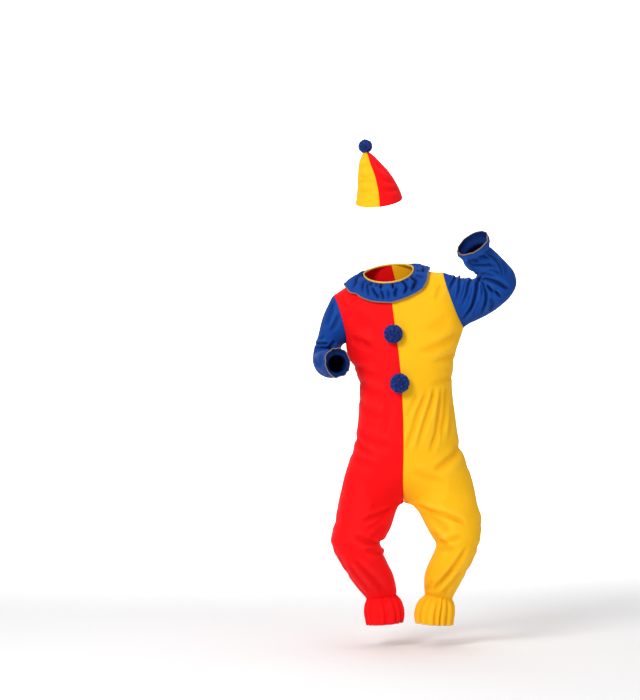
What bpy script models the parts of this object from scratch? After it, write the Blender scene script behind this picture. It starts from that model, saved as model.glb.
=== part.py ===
"""Clown jumpsuit with a soft cone hat, kept in the pose in which it is worn.

X runs to the right of the front view, -Y faces the viewer and Z is up.  The
origin is the middle of the neck on the line between both shoulders, where the
wearer carries the suit.  All tables are in millimetres, everything built is in
metres.
"""
import math
from collections import namedtuple

import bpy
from mathutils import Vector
from mathutils.bvhtree import BVHTree

MM = 0.001

# Driving sizes
CLOTH_WALL = 1.6 * MM            # knit cloth with its seam allowances, as one wall
SEAM_GAP = 0.36 * MM             # room left between two sewn edges
PANEL_COLUMNS = 12               # columns of a panel from centre seam to side seam
ANKLE_GATHERS = 15               # flutes round one ankle frill
CUFF_GATHERS = 10                # flutes round one cuff frill
COLLAR_GATHERS = 24              # flutes round the collar ruffle
COLUMNS_PER_FLUTE = 4
YOKE_ROWS = 10                   # rows from underarm to shoulder seam
NECK_ROW = 5                     # yoke row that meets the front of the neckline
COLLAR_WIDTH = 76 * MM
COLLAR_LIFT = 2.9 * MM           # least height of the collar's face over the panels
COLLAR_FLUTE = 7.5 * MM          # flute height at the free edge of the collar
BINDING_HEIGHT = 6.5 * MM
BINDING_WALL = 4.6 * MM
POMPOM_CORE_SHARE = 0.52         # core radius over pompom radius
POMPOM_SEAT_SHARE = 0.66         # distance of the backing from the pompom's middle
POMPOM_TAPER = 0.74              # lock width at its tip over its share of the surface
POMPOM_CLEARANCE = 0.35 * MM     # room between a pompom's backing and its cloth

COLOURS = {
    "red": (0.83, 0.012, 0.016, 1.0),
    "gold": (0.94, 0.56, 0.02, 1.0),
    "blue": (0.009, 0.085, 0.41, 1.0),
    "pompom": (0.012, 0.038, 0.18, 1.0),
    "binding": (0.86, 0.58, 0.07, 1.0),
}

# One row for each level of the trunk.  front: centre-front seam, back: centre-back
# seam as (x, y), red and gold: side seams, leg_share: how far the half ring has
# closed into a leg ring.
TorsoRow = namedtuple("TorsoRow", "name front back red gold leg_share")
TORSO_ROWS = (
    TorsoRow("underarm", (21, -112, -252), (78, 112), (-163, 50, -281), (276, -45, -224), 0.0),
    TorsoRow("chest", (29, -122, -308), (76, 118), (-155, 44, -330), (248, -44, -304), 0.0),
    TorsoRow("ribs", (35, -127, -363), (75, 115), (-131, 34, -371), (238, -34, -356), 0.0),
    TorsoRow("waist", (41, -130, -426), (75, 108), (-113, 26, -428), (233, -26, -420), 0.0),
    TorsoRow("low waist", (44, -133, -492), (76, 108), (-112, 22, -492), (237, -22, -495), 0.0),
    TorsoRow("belly", (47, -136, -566), (78, 118), (-117, 18, -567), (248, -18, -566), 0.0),
    TorsoRow("high hip", (48, -138, -633), (78, 131), (-126, 15, -638), (257, -15, -633), 0.0),
    TorsoRow("hip crease", (48, -138, -666), (77, 136), (-133, 14, -672), (261, -14, -667), 0.0),
    TorsoRow("hip", (48, -138, -706), (75, 140), (-148, 12, -713), (282, -12, -712), 0.05),
    TorsoRow("seat", (47, -137, -769), (70, 140), (-167, 8, -773), (305, -8, -776), 0.19),
    TorsoRow("above crotch", (49, -133, -826), (62, 132), (-180, 0, -825), (319, -2, -832), 0.47),
    TorsoRow("crotch", (54, -130, -877), (54, 120), (-190, -18, -869), (329, -20, -881), 1.0),
)
CROTCH_Y = 0
CROTCH_HALF_DEPTH = 124
INSEAM_POINT = (0.75, 0.45, 0.2)  # how pointed a leg ring is at the inseam, from the crotch down

# One row for each level of a leg.  inner and outer: inseam and side seam as
# (x, z), y: middle of the leg, half_depth: front and back of the leg from there,
# flute: height of the frill's flutes.
LegRow = namedtuple("LegRow", "name inner outer y half_depth flute")
GOLD_LEG = (
    LegRow("upper thigh", (87, -889), (340, -921), -26, 117, 0),
    LegRow("thigh", (115, -926), (343, -953), -42, 110, 0),
    LegRow("low thigh", (134, -965), (339, -982), -59, 103, 0),
    LegRow("over knee", (154, -1000), (334, -1009), -75, 96, 0),
    LegRow("knee", (171, -1025), (328, -1038), -84, 86, 0),
    LegRow("under knee", (166, -1052), (316, -1070), -84, 81, 0),
    LegRow("calf", (144, -1096), (299, -1108), -75, 80, 0),
    LegRow("low calf", (131, -1139), (275, -1154), -55, 76, 0),
    LegRow("shin", (127, -1180), (253, -1197), -36, 67, 0),
    LegRow("over elastic", (130, -1208), (240, -1222), -22, 57, 0),
    LegRow("elastic", (131, -1225), (234, -1239), -15, 50, 2.2),
    LegRow("frill top", (112, -1246), (241, -1260), -15, 62, 5.5),
    LegRow("frill", (100, -1273), (241, -1287), -15, 70, 7.5),
    LegRow("frill low", (96, -1300), (237, -1311), -15, 73, 8.5),
    LegRow("hem", (100, -1326), (234, -1334), -15, 74, 9.0),
)
RED_LEG = (
    LegRow("upper thigh", (33, -891), (-198, -914), -26, 117, 0),
    LegRow("thigh", (19, -926), (-207, -953), -42, 110, 0),
    LegRow("low thigh", (5, -965), (-216, -986), -59, 103, 0),
    LegRow("over knee", (-17, -1002), (-221, -1014), -75, 96, 0),
    LegRow("knee", (-35, -1027), (-215, -1043), -84, 86, 0),
    LegRow("under knee", (-26, -1055), (-199, -1074), -84, 81, 0),
    LegRow("calf", (-11, -1096), (-176, -1116), -75, 80, 0),
    LegRow("low calf", (10, -1139), (-149, -1157), -55, 76, 0),
    LegRow("shin", (22, -1180), (-121, -1196), -36, 67, 0),
    LegRow("over elastic", (25, -1207), (-98, -1223), -22, 57, 0),
    LegRow("elastic", (25, -1223), (-87, -1240), -15, 50, 2.2),
    LegRow("frill top", (42, -1244), (-93, -1262), -15, 62, 5.5),
    LegRow("frill", (52, -1273), (-95, -1288), -15, 70, 7.5),
    LegRow("frill low", (54, -1300), (-91, -1312), -15, 73, 8.5),
    LegRow("hem", (50, -1323), (-86, -1334), -15, 74, 9.0),
)

# Neckline and armholes: middle, and the offsets to front, back and sides.
NeckLoop = namedtuple("NeckLoop", "middle front back red gold")
NECKLINE = NeckLoop((-4, -1, -18), (2, -82, -42), (14, 68, 30), (-92, 21, -8), (92, -21, 8))
ArmLoop = namedtuple("ArmLoop", "shoulder underarm front back")
GOLD_ARMHOLE = ArmLoop((202, -50, -20), (276, -45, -224), (-18, -58, 14), (10, 58, -5))
RED_ARMHOLE = ArmLoop((-212, 50, -104), (-163, 50, -281), (8, -65, 10), (27, 62, -5))

# One row for each ring of a sleeve.  over: the line that starts at the shoulder
# point, under: the line that starts at the underarm, both (x, y, z); front and
# back: half depths to either side of the two lines; flute: height of the
# frill's flutes.
SleeveRow = namedtuple("SleeveRow", "name over under front back flute")
GOLD_SLEEVE = (
    SleeveRow("head", (224, -55, -27), (299, -50, -209), 66, 66, 0),
    SleeveRow("upper arm", (250, -62, -34), (332, -58, -192), 68, 68, 0),
    SleeveRow("middle arm", (275, -72, -40), (368, -70, -173), 68, 68, 0),
    SleeveRow("lower arm", (297, -82, -42), (408, -85, -146), 66, 66, 0),
    SleeveRow("over elbow", (313, -92, -39), (444, -100, -111), 62, 62, 0),
    SleeveRow("elbow", (320, -103, -32), (467, -115, -67), 60, 60, 0),
    SleeveRow("under elbow", (316, -116, -23), (458, -130, -26), 58, 58, 0),
    SleeveRow("forearm", (304, -130, -12), (434, -145, 2), 55, 55, 0),
    SleeveRow("thin forearm", (288, -145, 0), (408, -160, 30), 51, 51, 0),
    SleeveRow("over wrist", (276, -160, 14), (380, -175, 57), 46, 46, 0),
    SleeveRow("elastic", (270, -174, 30), (354, -189, 77), 38, 38, 2.0),
    SleeveRow("frill top", (254, -188, 37), (359, -202, 96), 50, 50, 5.0),
    SleeveRow("hem", (247, -201, 52), (352, -215, 117), 57, 57, 7.5),
)
RED_SLEEVE = (
    SleeveRow("head", (-236, 55, -150), (-172, 54, -287), 64, 64, 0),
    SleeveRow("upper arm", (-255, 62, -202), (-178, 58, -294), 64, 66, 0),
    SleeveRow("middle arm", (-269, 68, -255), (-182, 62, -302), 62, 66, 0),
    SleeveRow("lower arm", (-281, 72, -294), (-184, 64, -310), 52, 66, 0),
    SleeveRow("over elbow", (-287, 66, -326), (-184, 58, -320), 40, 66, 0),
    SleeveRow("elbow", (-289, 45, -349), (-182, 40, -331), 40, 62, 0),
    SleeveRow("under elbow", (-285, 10, -360), (-180, 8, -342), 48, 60, 0),
    SleeveRow("forearm", (-274, -25, -364), (-175, -25, -349), 53, 58, 0),
    SleeveRow("thin forearm", (-259, -60, -366), (-168, -58, -352), 50, 52, 0),
    SleeveRow("over wrist", (-242, -90, -366), (-162, -86, -354), 42, 45, 0),
    SleeveRow("elastic", (-232, -104, -365), (-162, -100, -352), 35, 36, 2.0),
    SleeveRow("frill top", (-239, -118, -362), (-155, -112, -349), 48, 48, 5.0),
    SleeveRow("hem", (-241, -132, -359), (-151, -125, -347), 56, 57, 7.5),
)

# One row for each level of the hat: left and right edge as (x, z), half depth,
# and how far the front of the ring hangs below its sides.
HatRow = namedtuple("HatRow", "name left right half_depth dip")
HAT_ROWS = (
    HatRow("hem", (-127, 240), (49, 262), 90, 28),
    HatRow("band", (-124, 268), (43, 281), 86, 24),
    HatRow("low cone", (-121, 303), (32, 305), 77, 17),
    HatRow("cone", (-120, 337), (15, 336), 67, 11),
    HatRow("high cone", (-118, 366), (-6, 365), 56, 7),
    HatRow("neck", (-115, 392), (-31, 391), 42, 4),
    HatRow("tip", (-107, 415), (-51, 414), 28, 2),
    HatRow("crown", (-98, 432), (-71, 431), 13, 1),
)
HAT_Y = -10
HAT_APEX = (-85, -10, 438)
HAT_COLUMNS = 12

# Soft folds: start and end as (x, z) of the front view, half width and depth.
# face is "front" or "back".
Fold = namedtuple("Fold", "name face start end width depth")
BODY_FOLDS = (
    Fold("gold drape 1", "front", (98, -470), (74, -705), 15, 5.5),
    Fold("gold drape 2", "front", (131, -478), (116, -722), 15, 6.5),
    Fold("gold drape 3", "front", (167, -476), (160, -705), 15, 7.0),
    Fold("gold drape 4", "front", (200, -470), (206, -715), 14, 6.5),
    Fold("gold drape 5", "front", (229, -490), (244, -680), 12, 5.0),
    Fold("gold underarm", "front", (262, -262), (118, -322), 22, 6.0),
    Fold("gold hip notch", "front", (262, -668), (178, -742), 20, 7.0),
    Fold("gold crotch crease", "front", (110, -888), (276, -950), 20, 9.0),
    Fold("gold knee crease", "front", (276, -950), (262, -1040), 18, 5.0),
    Fold("gold knee notch", "front", (176, -1034), (262, -1010), 18, 6.0),
    Fold("gold shin 1", "front", (292, -1050), (136, -1196), 20, 7.0),
    Fold("gold shin 2", "front", (268, -1122), (168, -1216), 16, 5.5),
    Fold("red waist", "front", (-100, -430), (20, -520), 22, 5.0),
    Fold("red belly", "front", (-112, -560), (10, -640), 22, 5.0),
    Fold("red hip", "front", (-130, -650), (-30, -726), 20, 6.0),
    Fold("red underarm", "front", (-150, -300), (-50, -350), 22, 5.5),
    Fold("red crotch crease", "front", (2, -892), (-96, -958), 20, 8.0),
    Fold("red knee notch", "front", (-40, -1038), (-130, -1012), 18, 6.0),
    Fold("red shin 1", "front", (-176, -1070), (-34, -1206), 20, 7.0),
    Fold("red shin 2", "front", (-118, -1130), (-20, -1216), 16, 5.5),
    Fold("back waist gold", "back", (228, -410), (90, -500), 22, 6.0),
    Fold("back waist red", "back", (-106, -415), (20, -505), 22, 6.0),
    Fold("back drape gold 1", "back", (120, -520), (108, -700), 17, 5.5),
    Fold("back drape gold 2", "back", (176, -520), (190, -710), 17, 5.5),
    Fold("back drape red 1", "back", (0, -530), (-8, -700), 17, 5.0),
    Fold("back drape red 2", "back", (-62, -520), (-76, -700), 17, 5.0),
    Fold("seat gold", "back", (128, -876), (290, -900), 20, 6.0),
    Fold("seat red", "back", (-20, -876), (-150, -900), 20, 6.0),
    Fold("back knee gold 1", "back", (170, -1030), (318, -1010), 20, 8.0),
    Fold("back knee gold 2", "back", (170, -1050), (300, -1086), 18, 7.0),
    Fold("back knee red 1", "back", (-30, -1030), (-206, -1014), 20, 8.0),
    Fold("back knee red 2", "back", (-26, -1056), (-176, -1092), 18, 7.0),
    Fold("back calf gold", "back", (290, -1110), (150, -1196), 18, 5.5),
    Fold("back calf red", "back", (-160, -1120), (0, -1196), 18, 5.5),
    Fold("shoulder blade gold", "back", (250, -240), (130, -330), 24, 6.0),
    Fold("shoulder blade red", "back", (-150, -290), (-30, -360), 24, 6.0),
)
SLEEVE_FOLDS = (
    Fold("gold arm fan 1", "front", (322, -34), (226, -132), 13, 6.0),
    Fold("gold arm fan 2", "front", (322, -36), (258, -186), 13, 7.0),
    Fold("gold arm fan 3", "front", (324, -38), (306, -192), 13, 6.5),
    Fold("gold arm fan 4", "front", (326, -38), (352, -168), 14, 7.0),
    Fold("gold arm fan 5", "front", (328, -36), (402, -126), 15, 7.5),
    Fold("gold elbow", "front", (330, -28), (440, -62), 16, 7.0),
    Fold("gold forearm 1", "front", (306, -4), (420, 6), 13, 5.5),
    Fold("gold forearm 2", "front", (288, 20), (386, 44), 12, 4.5),
    Fold("gold back fan 1", "back", (322, -40), (240, -150), 15, 6.0),
    Fold("gold back fan 2", "back", (324, -40), (300, -190), 15, 6.0),
    Fold("gold back fan 3", "back", (328, -38), (372, -150), 16, 6.5),
    Fold("gold back elbow", "back", (330, -28), (436, -50), 16, 6.0),
    Fold("red arm 1", "front", (-190, -200), (-240, -262), 14, 5.5),
    Fold("red arm 2", "front", (-176, -250), (-262, -296), 15, 7.0),
    Fold("red arm 3", "front", (-210, -130), (-236, -190), 14, 5.0),
    Fold("red back arm 1", "back", (-170, -240), (-262, -280), 16, 6.0),
    Fold("red back elbow", "back", (-176, -300), (-276, -340), 16, 6.0),
)

# Yarn pompoms: middle of the ball in front view as (x, z), radius.
PompomSize = namedtuple("PompomSize", "name x z radius")
FRONT_POMPOMS = (
    PompomSize("pompom_upper", 16, -251, 35.5),
    PompomSize("pompom_lower", 38, -431, 37.0),
)
HAT_POMPOM_RADIUS = 27.0


def vec(values):
    """Table entry in millimetres as a vector in metres."""
    return Vector(values) * MM


def spline(p0, p1, p2, p3, t):
    """Catmull-Rom point between p1 and p2."""
    return 0.5 * ((2.0 * p1) + (p2 - p0) * t + (2.0 * p0 - 5.0 * p1 + 4.0 * p2 - p3) * t * t
                  + (3.0 * p1 - p0 - 3.0 * p2 + p3) * t ** 3)


def hermite(start, leave, end, arrive, t):
    """Cubic from start to end with the two given tangents."""
    a, b = t * t, t ** 3
    return (start * (2 * b - 3 * a + 1) + leave * (b - 2 * a + t)
            + end * (3 * a - 2 * b) + arrive * (b - a))


class Half:
    """One colour half of the suit: front and back panel as one ruled surface.

    v counts the rows: -10 is the shoulder seam, 0 the underarm, 11 the crotch,
    22 the ankle elastic and 26 the hem.  s runs from 0 at the centre front past
    0.5 at the side seam to 1 at the centre back.
    """

    def __init__(self, name, sign, leg, armhole):
        self.name = name
        self.sign = sign
        self.leg = leg
        self.armhole = armhole
        self.crotch_row = len(TORSO_ROWS) - 1
        self.elastic_row = self.crotch_row + [row.name for row in leg].index("elastic") + 1
        self.last_row = self.crotch_row + len(leg)

    def trunk_points(self, row):
        """Front, side and back seam points of a trunk row."""
        front, red, gold = vec(row.front), vec(row.red), vec(row.gold)
        back = Vector((row.back[0] * MM, row.back[1] * MM, front.z))
        across, along = gold - red, back - front
        turn = across.x * along.y - across.y * along.x
        reach = ((front.x - red.x) * along.y - (front.y - red.y) * along.x) / turn
        middle = red + across * reach
        middle.z = front.z
        return front, (gold if self.sign > 0 else red), back, middle

    def trunk_ring(self, row, share):
        front, side, back, middle = self.trunk_points(row)
        angle = math.pi * share
        depth = (front if share <= 0.5 else back) - middle
        open_ring = (middle + (side - middle) * math.sin(angle) + depth * abs(math.cos(angle)))
        if row.leg_share == 0.0:
            return open_ring
        inner = Vector((front.x, CROTCH_Y * MM, front.z))
        closed_ring = leg_ring(inner, side, CROTCH_HALF_DEPTH * MM, share, INSEAM_POINT[0])
        return open_ring.lerp(closed_ring, row.leg_share)

    def ring(self, index, share):
        """Point of a whole row of the trunk or of the leg."""
        if index < 0:
            return self.yoke(-index, share)
        if index <= self.crotch_row:
            return self.trunk_ring(TORSO_ROWS[index], share)
        below = min(index, self.last_row) - self.crotch_row
        row = self.leg[below - 1]
        inner = Vector((row.inner[0], row.y, row.inner[1])) * MM
        outer = Vector((row.outer[0], row.y, row.outer[1])) * MM
        pointed = INSEAM_POINT[below] if below < len(INSEAM_POINT) else 0.0
        return leg_ring(inner, outer, row.half_depth * MM, share, pointed)

    def yoke(self, rise, share):
        """Point between centre line or neckline and armhole, rise 0 to 10."""
        front_side = share <= 0.5
        front, side, back, middle = self.trunk_points(TORSO_ROWS[0])
        seam = front if front_side else back
        neck_edge = neckline(self.sign, 0.0 if front_side else 1.0)
        if rise <= NECK_ROW:
            inner = seam.lerp(neck_edge, rise / NECK_ROW)
        else:
            turn = (rise - NECK_ROW) / (YOKE_ROWS - NECK_ROW) / 2.0
            inner = neckline(self.sign, turn if front_side else 1.0 - turn)
        up = rise / YOKE_ROWS
        outer = armhole_point(self.armhole, (1.0 - up) * 0.5 if front_side else (1.0 + up) * 0.5)
        chord = outer - inner
        length = chord.length
        across = (side - middle).normalized()
        wrap = (back - front).normalized() if front_side else (front - back).normalized()
        near_neck = max(0.0, (rise - NECK_ROW) / (YOKE_ROWS - NECK_ROW)) ** 0.8
        leave = across.lerp(chord / length, near_neck).normalized() * length * 1.05
        low = (1.0 - up) ** 1.5
        arrive = (wrap * low + (chord / length) * (1.0 - low)).normalized() * length * 1.05
        t = share * 2.0 if front_side else (1.0 - share) * 2.0
        point = hermite(inner, leave, outer, arrive, t)
        start = hermite(seam, across * (side - seam).length * 1.05, side,
                        wrap * (side - seam).length * 1.05, t)
        fade = max(0.0, 1.0 - up) ** 3
        return point + (self.trunk_ring(TORSO_ROWS[0], share) - start) * fade

    def point(self, v, share):
        """Surface point at any row value."""
        if v <= 0.0:
            return self.yoke(-v, share)
        base = min(int(math.floor(v)), self.last_row - 1)
        t = v - base
        if t < 1e-9:
            return self.ring(base, share)
        rows = [self.ring(base + k, share) for k in (-1, 0, 1, 2)]
        if base + 1 == self.crotch_row:
            rows[3] = rows[2] * 2.0 - rows[1]
        return spline(*rows, t)

    def flute(self, v, share):
        """Height of the ankle flutes at a point, along its normal."""
        heights = [row.flute for row in self.leg]
        place = v - self.crotch_row - 1
        if place <= 0:
            return 0.0
        low = min(int(place), len(heights) - 2)
        height = heights[low] + (heights[low + 1] - heights[low]) * (place - low)
        turn = 2.0 * math.pi * share
        uneven = 1.0 + 0.22 * math.sin(3.0 * turn + 0.8 * self.sign) + 0.14 * math.sin(5.0 * turn)
        return height * MM * uneven * math.cos(ANKLE_GATHERS * turn)


def leg_ring(inner, outer, half_depth, share, pointed):
    """Closed ring that starts and ends at the inseam, drawn to a point there if asked."""
    middle = (inner + outer) / 2.0
    angle = 2.0 * math.pi * share
    across, ahead = math.cos(angle), math.sin(angle)
    if across > 0.0 and pointed > 0.0:
        straight = math.asin(min(1.0, abs(ahead))) / (math.pi / 2.0)
        across += (1.0 - straight - across) * pointed
        ahead += (math.copysign(straight, ahead) - ahead) * pointed
    return middle + (inner - middle) * across + Vector((0.0, -half_depth * ahead, 0.0))


def neckline(sign, share):
    """Neckline point of a half, 0 at the front, 0.5 at the shoulder seam, 1 at the back."""
    angle = math.pi * share
    depth = NECKLINE.front if share <= 0.5 else NECKLINE.back
    side = NECKLINE.gold if sign > 0 else NECKLINE.red
    return (vec(NECKLINE.middle) + vec(side) * math.sin(angle)
            + vec(depth) * abs(math.cos(angle)))


def armhole_point(loop, share):
    """Armhole point, 0 at the shoulder, 0.25 in front, 0.5 under the arm."""
    angle = 2.0 * math.pi * share
    middle = (vec(loop.shoulder) + vec(loop.underarm)) / 2.0
    side = vec(loop.front) if share <= 0.5 else vec(loop.back)
    return (middle + (vec(loop.shoulder) - middle) * math.cos(angle)
            + side * abs(math.sin(angle)))


class Sleeve:
    """Sleeve tube from the armhole to the free edge of its cuff frill."""

    def __init__(self, name, sign, rows, armhole):
        self.name = name
        self.sign = sign
        self.rows = rows
        self.armhole = armhole
        self.last_row = len(rows)
        self.elastic_row = [row.name for row in rows].index("elastic") + 1

    def middle(self, index):
        if index <= 0:
            return (vec(self.armhole.shoulder) + vec(self.armhole.underarm)) / 2.0
        row = self.rows[min(index, self.last_row) - 1]
        return (vec(row.over) + vec(row.under)) / 2.0

    def ring(self, index, share):
        if index <= 0:
            return armhole_point(self.armhole, share)
        row = self.rows[min(index, self.last_row) - 1]
        middle = self.middle(index)
        half = vec(row.over) - middle
        path = self.middle(min(index + 1, self.last_row)) - self.middle(index - 1)
        depth = path.cross(half).normalized()
        if depth.dot(self.front_hint(index)) < 0.0:
            depth = -depth
        angle = 2.0 * math.pi * share
        size = (row.front if share <= 0.5 else row.back) * MM
        return middle + half * math.cos(angle) + depth * size * math.sin(angle)

    def front_hint(self, index):
        """Direction that counts as the front of a ring, turned with the forearm."""
        if self.sign > 0:
            return Vector((0.0, -1.0, 0.0))
        return Vector((0.0, -1.0, 0.35)) if index < 6 else Vector((0.0, -0.2, 1.0))

    def point(self, v, share):
        base = min(int(math.floor(v)), self.last_row - 1)
        t = v - base
        if t < 1e-9:
            return self.ring(base, share)
        first = self.ring(base, share)
        before = self.ring(base - 1, share) if base > 0 else 2.0 * first - self.ring(1, share)
        after = (self.ring(base + 2, share) if base + 2 <= self.last_row
                 else 2.0 * self.ring(base + 1, share) - first)
        return spline(before, first, self.ring(base + 1, share), after, t)

    def flute(self, v, share):
        heights = [0.0] + [row.flute for row in self.rows]
        low = min(int(v), len(heights) - 2)
        height = heights[low] + (heights[low + 1] - heights[low]) * (v - low)
        turn = 2.0 * math.pi * share
        uneven = 1.0 + 0.2 * math.sin(2.0 * turn + self.sign) + 0.12 * math.sin(3.0 * turn)
        return height * MM * uneven * math.cos(CUFF_GATHERS * turn)


class Cloth:
    """Open sheet of triangles that is later given its wall."""

    def __init__(self):
        self.points = []
        self.faces = []
        self.lifts = []

    def add_rows(self, rows, flip):
        """Joins rows of (share, point, lift) by triangles, whatever their counts."""
        before = None
        for row in rows:
            start = len(self.points)
            for share, point, lift in row:
                self.points.append(point)
                self.lifts.append(lift)
            shares = [entry[0] for entry in row]
            if before is not None:
                self.zip_rows(before, (start, shares), flip)
            before = (start, shares)

    def zip_rows(self, upper, lower, flip):
        a, upper_shares = upper
        b, lower_shares = lower
        i = j = 0
        while i < len(upper_shares) - 1 or j < len(lower_shares) - 1:
            step_upper = j == len(lower_shares) - 1 or (
                i < len(upper_shares) - 1
                and upper_shares[i + 1] + upper_shares[i] < lower_shares[j + 1] + lower_shares[j])
            if step_upper:
                face = (a + i, b + j, a + i + 1)
                i += 1
            else:
                face = (a + i, b + j, b + j + 1)
                j += 1
            self.faces.append(face if not flip else face[::-1])


def key(point):
    return tuple(round(value * 2.0e5) for value in point)


def shared_normals(cloths):
    """Outward normals at welded points, shared by all pieces that meet there."""
    total = {}
    for cloth in cloths:
        for a, b, c in cloth.faces:
            pa, pb, pc = cloth.points[a], cloth.points[b], cloth.points[c]
            normal = (pb - pa).cross(pc - pa)
            size = normal.length
            if size < 1e-14:
                continue
            for here, one, two in ((pa, pb, pc), (pb, pc, pa), (pc, pa, pb)):
                angle = (one - here).angle(two - here, 0.0)
                place = key(here)
                total[place] = total.get(place, Vector((0, 0, 0))) + normal / size * angle
    return {place: value.normalized() for place, value in total.items()}


def fold_depth(point, normal, folds):
    """Depth of all folds at a point; a fold has a soft trough with a low ridge beside it."""
    depth = 0.0
    x, z = point.x / MM, point.z / MM
    for fold in folds:
        facing = -normal.y if fold.face == "front" else normal.y
        if facing <= 0.05:
            continue
        ax, az = fold.start
        bx, bz = fold.end
        dx, dz = bx - ax, bz - az
        length = math.hypot(dx, dz)
        along = ((x - ax) * dx + (z - az) * dz) / length ** 2
        if not -0.25 < along < 1.25:
            continue
        side = ((x - ax) * dz - (z - az) * dx) / length
        end = math.exp(-(max(0.0, abs(along - 0.5) - 0.32) / 0.2) ** 2)
        trough = math.exp(-(side / fold.width) ** 2)
        ridge = 0.5 * math.exp(-((side - 1.9 * fold.width) / (0.9 * fold.width)) ** 2)
        depth += fold.depth * MM * end * (trough - ridge) * min(1.0, facing * 1.6)
    return depth


def drape(panels, sleeves):
    """Moves every point along its normal by its flutes and folds; armholes stay."""
    normals = shared_normals(panels + sleeves)
    armholes = {key(p) for cloth in panels for p in cloth.points}
    armholes &= {key(p) for cloth in sleeves for p in cloth.points}
    for cloths, folds in ((panels, BODY_FOLDS), (sleeves, SLEEVE_FOLDS)):
        for cloth in cloths:
            for index, point in enumerate(cloth.points):
                if key(point) in armholes:
                    continue
                normal = normals[key(point)]
                rise = cloth.lifts[index] - fold_depth(point, normal, folds)
                cloth.points[index] = point + normal * rise


def border_edges(faces):
    """Directed edges that belong to one face only."""
    directed = {(a, b) for f in faces for a, b in ((f[0], f[1]), (f[1], f[2]), (f[2], f[0]))}
    return [edge for edge in directed if (edge[1], edge[0]) not in directed]


def wall_mesh(cloth, normals, wall=CLOTH_WALL, gap=SEAM_GAP):
    """Gives a sheet its wall: outer face, inner face and the rims between them."""
    count = len(cloth.points)
    used = [normals[key(point)] for point in cloth.points]
    edges = border_edges(cloth.faces)
    inward = {}
    for a, b in edges:
        for index in (a, b):
            side = used[index].cross(cloth.points[b] - cloth.points[a]).normalized()
            inward.setdefault(index, []).append(side)
    outer = list(cloth.points)
    for index, sides in inward.items():
        total = sides[0].copy()
        for side in sides[1:]:
            total = total + side
        total.normalize()
        miter = max(0.45, total.dot(sides[0]))
        outer[index] = outer[index] + total * (gap / 2.0 / miter)
    inner = [outer[i] - used[i] * wall for i in range(count)]
    faces = list(cloth.faces)
    faces += [(c + count, b + count, a + count) for a, b, c in cloth.faces]
    for a, b in edges:
        if tuple(used[a]) + tuple(cloth.points[a]) < tuple(used[b]) + tuple(cloth.points[b]):
            faces += [(b, a, b + count), (a, a + count, b + count)]
        else:
            faces += [(b, a, a + count), (b, a + count, b + count)]
    return outer + inner, faces


def make_object(name, points, faces, colour):
    mesh = bpy.data.meshes.new(name)
    mesh.from_pydata([tuple(p) for p in points], [], faces)
    mesh.validate()
    mesh.update()
    obj = bpy.data.objects.new(name, mesh)
    bpy.context.scene.collection.objects.link(obj)
    material = bpy.data.materials.new(name + "_cloth")
    material.use_nodes = True
    shader = material.node_tree.nodes["Principled BSDF"]
    shader.inputs["Base Color"].default_value = COLOURS[colour]
    shader.inputs["Roughness"].default_value = 0.62
    obj.data.materials.append(material)
    return obj


def panel_cloth(half, front_side, row_values):
    """Front or back panel of one half, with its leg and its ankle frill."""
    cloth = Cloth()
    rows = []
    frill_columns = ANKLE_GATHERS * COLUMNS_PER_FLUTE // 2
    for v in row_values:
        columns = frill_columns if v >= half.elastic_row else PANEL_COLUMNS
        row = []
        for i in range(columns + 1):
            part = i / columns
            share = part / 2.0 if front_side else max(0.5 + 1e-9, 0.5 + part / 2.0)
            row.append((share, half.point(v, share), half.flute(v, share)))
        rows.append(row)
    cloth.add_rows(rows, flip=half.sign < 0)
    return cloth


def sleeve_cloth(sleeve):
    cloth = Cloth()
    rows = []
    for index in range(sleeve.last_row + 1):
        columns = CUFF_GATHERS * COLUMNS_PER_FLUTE if index >= sleeve.elastic_row else 2 * YOKE_ROWS
        row = [(i / columns, sleeve.point(index, i / columns), sleeve.flute(index, i / columns))
               for i in range(columns + 1)]
        rows.append(row)
    cloth.add_rows(rows, flip=sleeve.sign > 0)
    return weld_columns(cloth)


def weld_columns(cloth):
    """Joins the first and last column of a tube."""
    places = {}
    change = []
    points, lifts = [], []
    for point, lift in zip(cloth.points, cloth.lifts):
        place = key(point)
        if place not in places:
            places[place] = len(points)
            points.append(point)
            lifts.append(lift)
        change.append(places[place])
    cloth.points, cloth.lifts = points, lifts
    cloth.faces = [tuple(change[i] for i in face) for face in cloth.faces]
    cloth.faces = [face for face in cloth.faces if len(set(face)) == 3]
    return cloth


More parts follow.
